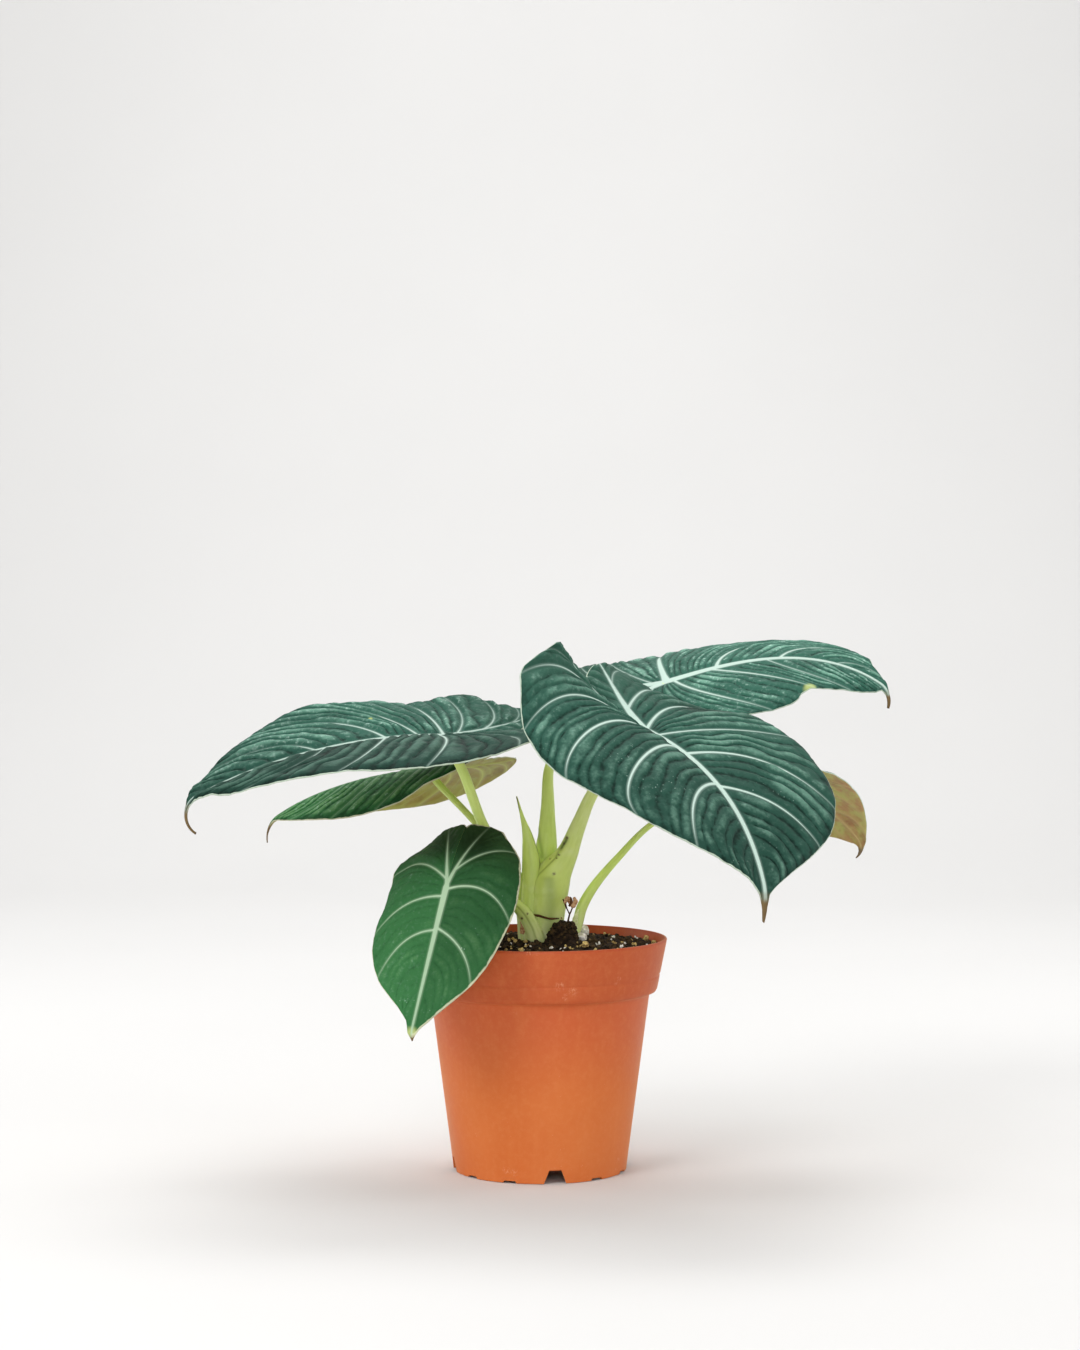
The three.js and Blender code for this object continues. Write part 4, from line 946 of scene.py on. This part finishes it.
# Dry scraps and a root by the stem base, each a thin tube: x, y, z, half width, half depth.
STRANDS = {
    "stem_root": (DRY, [
        (-3.4, -8.6, 109.3, 0.3, 0.3), (-1.2, -9.7, 109.2, 0.5, 0.45), (2.2, -10.1, 108.3, 0.4, 0.4),
        (5.0, -9.9, 107.8, 0.45, 0.4), (8.0, -9.4, 107.9, 0.25, 0.25)]),
    "dry_stem": (DRY, [
        (11.6, -11.5, 105, 0.5, 0.4), (12.2, -12, 109, 0.35, 0.3), (13.4, -12.4, 112.2, 0.3, 0.3),
        (14.2, -12.4, 114.6, 0.3, 0.3)]),
    "dry_branch": (DRY, [
        (12.4, -12.1, 110, 0.3, 0.3), (11.2, -12.4, 112.5, 0.3, 0.3), (10.4, -12.6, 114.8, 0.4, 0.35),
        (9.6, -12.4, 116.4, 0.25, 0.2)]),
    "dry_curl": (HUSK, [
        (10.2, -12.8, 114.6, 0.5, 0.3), (11.6, -13.1, 116.6, 0.9, 0.4), (12.6, -13.2, 115.2, 0.9, 0.5),
        (13.8, -13.2, 113.8, 1.0, 0.5), (14.9, -13, 115.4, 0.9, 0.45), (14.2, -12.8, 117.2, 0.5, 0.3)]),
    "dry_knot": (DRY, [
        (12.2, -13.3, 113.4, 0.4, 0.4), (13.2, -13.6, 115.4, 0.6, 0.4), (12.7, -13.4, 117.4, 0.3, 0.3)]),
    "pale_scrap": (HUSK, [
        (-8.6, -10.4, 110.6, 0.3, 0.2), (-7.4, -11, 107.6, 1.0, 0.35), (-7.0, -11, 104.4, 1.2, 0.4),
        (-7.6, -10.6, 101.5, 0.8, 0.35)]),
    "white_sheath": (PALE, [
        (13.2, -1.6, 98, 1.2, 0.6), (14.2, -1.9, 103, 1.5, 0.7), (15.2, -1.8, 107.5, 1.0, 0.5),
        (16.2, -1.4, 111, 0.3, 0.2)]),
}
for strand_name, (look, sections) in STRANDS.items():
    centre, out, faces, angle, along = tube(sections, *THIN)
    wobble = 1 + 0.25 * value_noise(angle[None, :] * 1.3, along[:, None] * 1.1, len(strand_name))
    points = (centre[:, None] + out * wobble[..., None]).reshape(-1, 3)
    add_piece(strand_name, points, faces, [look])


# ---------------- pot
def pot_radius(z):
    """The outer radius at a height."""
    return np.interp(z, [0, POT["neck"], POT["band_foot"], POT["height"]],
                     [POT["foot"], POT["neck_radius"], POT["band_radius"], POT["rim"]])


def add_block(mesh, centre, along, across, length, width, low, high, narrow):
    """A cutter whose top is narrower than its foot."""
    corners = []
    for z, w in ((low, width), (high, width * narrow)):
        for u, v in ((1, -1), (1, 1), (-1, 1), (-1, -1)):
            x, y = centre + along * u * length / 2 + across * v * w / 2
            corners.append(mesh.verts.new((x * MM, y * MM, z * MM)))
    for quad in ((3, 2, 1, 0), (4, 5, 6, 7), (0, 1, 5, 4), (1, 2, 6, 5), (2, 3, 7, 6), (3, 0, 4, 7)):
        mesh.faces.new([corners[i] for i in quad])


# Edges of the cut pot sharper than this, in degrees, are shaded sharp.
SHARP = 40


def build_pot(sides=240):
    """The pot turned from its outline, with the notches and drain holes cut out."""
    wall, height, neck, foot, bead = (POT[key] for key in ("wall", "height", "neck", "band_foot", "bead"))
    neck_r, band_r, rim_r = POT["neck_radius"], POT["band_radius"], POT["rim"]
    inner_foot, floor, under = POT["inner_foot"], POT["floor"], POT["floor_under"]

    def on_wall(*heights, inward=0):
        return [(pot_radius(z) - inward, z) for z in heights]
    outside = [(pot_radius(0.4), 0.0)] + on_wall(3, 12, 24, 36, 48, 60, 70, neck - 1.6)
    shoulder = [(neck_r - 0.05, neck - 0.5), (neck_r + 0.35, neck + 0.25), (neck_r + 1.5, neck + 1.0),
                (band_r - 0.6, foot - 0.75), (band_r - 0.05, foot + 0.1)] + on_wall(foot + 1.2)
    bead_r = pot_radius(bead)
    band = on_wall(bead - 1.1) + [(bead_r - 0.1, bead - 0.45), (bead_r - 0.26, bead),
                                  (bead_r - 0.1, bead + 0.45)]
    band += on_wall(bead + 1.1, 88, 93, 97.4)
    rim = [(rim_r - 0.12, height - 0.55), (rim_r - 0.32, height - 0.1), (rim_r - 0.6, height),
           (rim_r - wall + 0.2, height), (rim_r - wall, height - 0.3)]
    inside = on_wall(97, 92, 86, foot + 1, neck - 1, 40, inner_foot, inward=wall)
    base = [(10.0, inner_foot), (8.0, under), (0.0, under), (0.0, 0.0), (9.0, 0.0), (11.0, floor),
            (pot_radius(floor) - 2 * wall, floor), (pot_radius(0) - wall, 0.0)]
    profile = np.array(outside + shoulder + band + rim + inside + base)
    angle = np.linspace(0, 2 * np.pi, sides, endpoint=False)
    points, rings = [], []
    for r, z in profile:
        if r == 0:
            rings.append(np.full(sides, len(points)))
            points.append((0, 0, z))
        else:
            rings.append(len(points) + np.arange(sides))
            points.extend(zip(r * np.cos(angle), r * np.sin(angle), np.full(sides, z)))
    faces = []
    for low, high in zip(rings, rings[1:] + rings[:1]):
        for i in range(sides):
            j = (i + 1) % sides
            face = [low[i], low[j], high[j], high[i]]
            face = [v for n, v in enumerate(face) if v != face[n - 1]]
            if len(face) > 2:
                faces.append(face)
    points = np.array(points)
    rim_mask = unit((points[:, 2] - (height - 1.4)) / 1.0)
    piece = add_piece("pot_shell", points, faces, [TERRACOTTA], dict(rim=rim_mask))
    cutters = bmesh.new()
    for i in range(NOTCH["count"]):
        tall = i % NOTCH["tall_every"] == 0
        a = (NOTCH["first"] + 360 / NOTCH["count"] * i) * RAD
        along, across = np.array([math.sin(a), -math.cos(a)]), np.array([math.cos(a), math.sin(a)])
        top, width, narrow = ((NOTCH["high"], NOTCH["width"], 0.5) if tall
                              else (NOTCH["low"], NOTCH["slit"], 0.8))
        add_block(cutters, along * POT["foot"], along, across, 8, width, -1, top, narrow)
        if tall:
            size = 2 * NOTCH["drain"]
            add_block(cutters, along * NOTCH["drain_ring"], along, across, size, size, 3.6, 8, 1.0)
    cutter_mesh = bpy.data.meshes.new("notches")
    cutters.to_mesh(cutter_mesh)
    cutters.free()
    cutter = new_object("notches", cutter_mesh)
    cut = piece.modifiers.new("cut", "BOOLEAN")
    cut.object, cut.operation, cut.solver = cutter, "DIFFERENCE", "EXACT"
    result = bpy.data.meshes.new_from_object(piece.evaluated_get(bpy.context.evaluated_depsgraph_get()))
    piece.modifiers.clear()
    piece.data = result
    bpy.data.objects.remove(cutter)
    result.set_sharp_from_angle(angle=SHARP * RAD)
    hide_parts("pot")


build_pot()


# ---------------- soil
def soil_height(x, y):
    """The top of the solid soil."""
    r = np.hypot(x, y)
    lump = np.sin(0.31 * x + 1.3) * np.cos(0.27 * y - 0.4) + 0.6 * np.sin(0.53 * x - 0.47 * y)
    spread = MOUND["radius"] / 1.6
    mound = np.exp(-((x - MOUND["x"]) ** 2 + (y - MOUND["y"]) ** 2) / (2 * spread ** 2))
    crown = SOIL["crown"] * np.maximum(0, 1 - r / SOIL["crown_reach"])
    return (SOIL["edge"] + crown + SOIL["lump"] * lump * np.minimum(1, (52 - r) / SOIL["lump_fade"])
            + MOUND["height"] * mound)


def build_crust():
    """The loose top of the soil, a fine skin over the solid soil."""
    radius = np.linspace(0.5, CRUST["edge"], CRUST["rings"])
    angle = np.linspace(0, 2 * np.pi, CRUST["sides"], endpoint=False)
    r, a = np.meshgrid(radius, angle, indexing="ij")
    x, y = r * np.cos(a), r * np.sin(a)
    rough = (0.55 * value_noise(x / 2.6, y / 2.6, 1) + 0.4 * value_noise(x / 1.2, y / 1.2, 2)
             + 0.22 * value_noise(x / 0.6, y / 0.6, 3))
    z = soil_height(x, y) + CRUST["lift"] + rough
    z[-1] -= 3
    points = np.stack([x, y, z], -1).reshape(-1, 3)
    index = np.arange(len(points)).reshape(r.shape)
    faces = [[a, d, c, b] for a, b, c, d in ring_faces(index)]
    faces.append(index[0].tolist())
    add_piece("soil_crust", points, faces, [EARTH])


def lump_shape(level):
    """A ball to be broken up, as points and faces."""
    mesh = bmesh.new()
    bmesh.ops.create_icosphere(mesh, subdivisions=level, radius=1)
    points = np.array([v.co[:] for v in mesh.verts])
    faces = [[v.index for v in f.verts] for f in mesh.faces]
    mesh.free()
    return points, faces


def scatter(name, spots, sizes, stretch, material, level, jag, seed):
    """Many broken lumps as one mesh, each turned, stretched and roughened at random."""
    ball, ball_faces = lump_shape(level)
    draw = np.random.default_rng(seed)
    points, faces = [], []
    for spot, size in zip(spots, sizes):
        turn, _ = np.linalg.qr(draw.normal(size=(3, 3)))
        shape = ball * (1 + jag * draw.normal(size=(len(ball), 1)))
        shape = shape * np.array([1, draw.uniform(*stretch), draw.uniform(*stretch)])
        shape = shape @ turn.T * size + spot
        faces += [[i + len(points) * len(ball) for i in f] for f in ball_faces]
        points.append(shape)
    add_piece(name, np.concatenate(points), faces, [material], smooth=False)


def soil_spots(count, draw, low=3.0, high=51.0):
    """Random places on the soil between two radii, clear of the stem."""
    spots = []
    while len(spots) < count:
        r = math.sqrt(draw.uniform((low / high) ** 2, 1)) * high
        a = draw.uniform(0, 2 * math.pi)
        x, y = r * math.cos(a), r * math.sin(a)
        if math.hypot(x - STEM["x"], y - STEM["y"]) >= STEM["clear"]:
            spots.append((x, y))
    return np.array(spots)


def on_soil(xy, lift):
    return np.column_stack([xy, soil_height(xy[:, 0], xy[:, 1]) + CRUST["lift"] + lift])


build_crust()
for node_name, look in (("soil", EARTH), ("corm", DRY)):
    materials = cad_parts[node_name].data.materials
    materials.clear()
    materials.append(look)

CLUMP_COUNT, LUMP_COUNT = 1300, 230
draw = np.random.default_rng(21)
xy = soil_spots(CLUMP_COUNT, draw)
sizes = draw.uniform(0.3, 1.0, len(xy))
scatter("soil_clumps", on_soil(xy, 0.15 * sizes), sizes, (0.5, 1.0), CLUMPS, 1, 0.18, 5)
xy = soil_spots(LUMP_COUNT, draw, high=49.0)
sizes = 1.0 + 1.3 * draw.uniform(0, 1, len(xy)) ** 2
scatter("soil_lumps", on_soil(xy, 0.1 * sizes), sizes, (0.5, 0.9), CLUMPS, 2, 0.1, 9)

# The mound stands as a block of crumbs: x, z of its top edge.
TOP_EDGE = np.array([(2.5, 97.5), (4.0, 102.5), (6.0, 105.6), (9.0, 106.8), (13.8, 106.6), (15.0, 103.5),
                     (15.8, 97.0)])
CRUMBS = 420
x, y = draw.uniform(2.8, 15.4, CRUMBS), draw.uniform(-13.5, -6.5, CRUMBS)
top = np.interp(x, TOP_EDGE[:, 0], TOP_EDGE[:, 1]) - 0.07 * (y + 10.5) ** 2
z = top - (top - 96.5) * draw.uniform(0, 1, CRUMBS) ** 1.6
sizes = draw.uniform(0.45, 1.35, CRUMBS)
scatter("mound_clumps", np.column_stack([x, y, z - 0.4 * sizes]), sizes, (0.6, 1.0), CLUMPS, 2, 0.1, 6)

# Light bits: those placed from the photograph (x, y, z, size in mm), then the count, sizes and jaggedness of
# the others, which fall at random.
BITS = {
    "perlite_grains": (PERLITE, [
        (17.8, -2.8, 99.3, 3.6), (19.1, 14.8, 100.4, 2.6), (25.1, -6.3, 97.1, 0.8), (12.4, 5.2, 97.8, 0.9),
        (4.7, -27.3, 97.6, 1.0), (-5.8, -19.3, 97.6, 0.9), (34.1, -17.1, 96.9, 1.0), (31.6, 14.8, 97.3, 0.9)],
        55, (0.35, 0.75), 0.14),
    "bark_chips": (CHIPS, [
        (19.0, -24.4, 98.6, 2.5), (48.6, 4.9, 96.0, 1.3), (40.5, -3.1, 96.3, 0.9), (45.7, 17.9, 96.5, 1.4),
        (31.3, -11.4, 97.7, 1.0), (10.7, -23.9, 97.8, 0.9), (12.2, -25.5, 97.1, 1.0),
        (13.6, -26.9, 96.6, 1.1), (-7.7, -36.1, 97.6, 1.5), (-6.2, -13.8, 98.6, 1.1),
        (-10.3, -14.1, 98.9, 0.9)],
        120, (0.35, 0.85), 0.2)}
for bit_name, (look, known, count, (small, large), jag) in BITS.items():
    known = np.array(known)
    xy = soil_spots(count, draw, low=12)
    sizes = draw.uniform(small, large, count)
    spots = np.vstack([known[:, :3], on_soil(xy, 0.5 + 0.5 * sizes)])
    scatter(bit_name, spots, np.concatenate([known[:, 3], sizes]), (0.5, 0.9), look, 2, jag, 7)


# ---------------- stage, light and camera
def flat_look(name, color, rough):
    s = Shader(name, Roughness=rough, Specular_IOR_Level=0.2)
    tone = s.noise(s.place(), 3, 2)
    s.set("Base Color", s.mix(s.ramp(tone, 0.3, 0.7), color, tuple(0.985 * c for c in color[:3]) + (1,)))
    return s.material


def build_stage():
    """A sheet of paper that lies under the pot, bends up behind it and stands to the back's height."""
    front, bend, top, reach = -3.0, 1.2, 4.5, 6
    profile = [(front, 0.0), (bend, 0.0)]
    profile += [(bend + bend * math.sin(a), bend - bend * math.cos(a))
                for a in np.linspace(0.05, math.pi / 2, 24)]
    profile.append((2 * bend, top))
    mesh = bpy.data.meshes.new("backdrop")
    points = [(x, y, z - 0.0002) for x in (-reach, reach) for y, z in profile]
    n = len(profile)
    mesh.from_pydata(points, [], [[i, i + n, i + n + 1, i + 1] for i in range(n - 1)])
    mesh.materials.append(flat_look("paper", (0.685, 0.68, 0.673, 1), 0.9))
    mesh.polygons.foreach_set("use_smooth", [True] * len(mesh.polygons))
    backdrop = new_object("backdrop", mesh)


def add_light(name, place, aim, size, power):
    data = bpy.data.lights.new(name, "AREA")
    data.shape, data.size, data.energy = "DISK", size, power
    lamp = new_object(name, data)
    lamp.location = place
    x, y, z = np.array(aim) - np.array(place)
    lamp.rotation_euler = (math.atan2(math.hypot(x, y), -z), 0, math.atan2(y, x) - math.pi / 2)


build_stage()
# Each light's place, aim, width in metres and power in watts.
for light in (("top", (0.1, 0.25, 1.5), (0, 0, 0.1), 1.1, 7.5),
              ("key", (-0.8, -1.0, 1.1), (0, 0, 0.15), 0.8, 12.0),
              ("fill", (1.2, -1.1, 0.8), (0, 0, 0.12), 1.2, 4.0),
              ("front", (0.05, -1.7, 0.38), (0, 0, 0.12), 0.9, 8.0),
              ("side_left", (-1.2, 0.35, 0.5), (0, 0, 0.1), 0.8, 3.5),
              ("side_right", (1.2, 0.35, 0.5), (0, 0, 0.1), 0.8, 3.5),
              ("backdrop_wash", (0, 1.3, 2.3), (0, 2.1, 0.5), 1.6, 29.0)):
    add_light(*light)

world = bpy.data.worlds.new("studio")
world.use_nodes = True
sky, strength = world.node_tree.nodes["Background"].inputs[:2]
sky.default_value, strength.default_value = (1.0, 0.995, 0.985, 1), 0.45
bpy.context.scene.world = world
bpy.context.scene.view_settings.view_transform = "Standard"

# The photograph's camera: picture height, focal length and middle line in pixels, pitch down in degrees,
# distance and eye height in metres.
PHOTO = dict(height=1350, focal=2725.0, centre_y=906.0, pitch=5.7, distance=1.150, eye=0.227)
SENSOR = 36.0
camera_data = bpy.data.cameras.new("camera")
camera_data.sensor_width = SENSOR
camera_data.lens = PHOTO["focal"] / PHOTO["height"] * SENSOR
camera_data.shift_y = (PHOTO["centre_y"] - PHOTO["height"] / 2) / PHOTO["height"]
camera_data.clip_end = 30
camera = new_object("camera", camera_data)
camera.location = (0, -PHOTO["distance"], PHOTO["eye"])
camera.rotation_euler = ((90 - PHOTO["pitch"]) * RAD, 0, 0)
bpy.context.scene.camera = camera
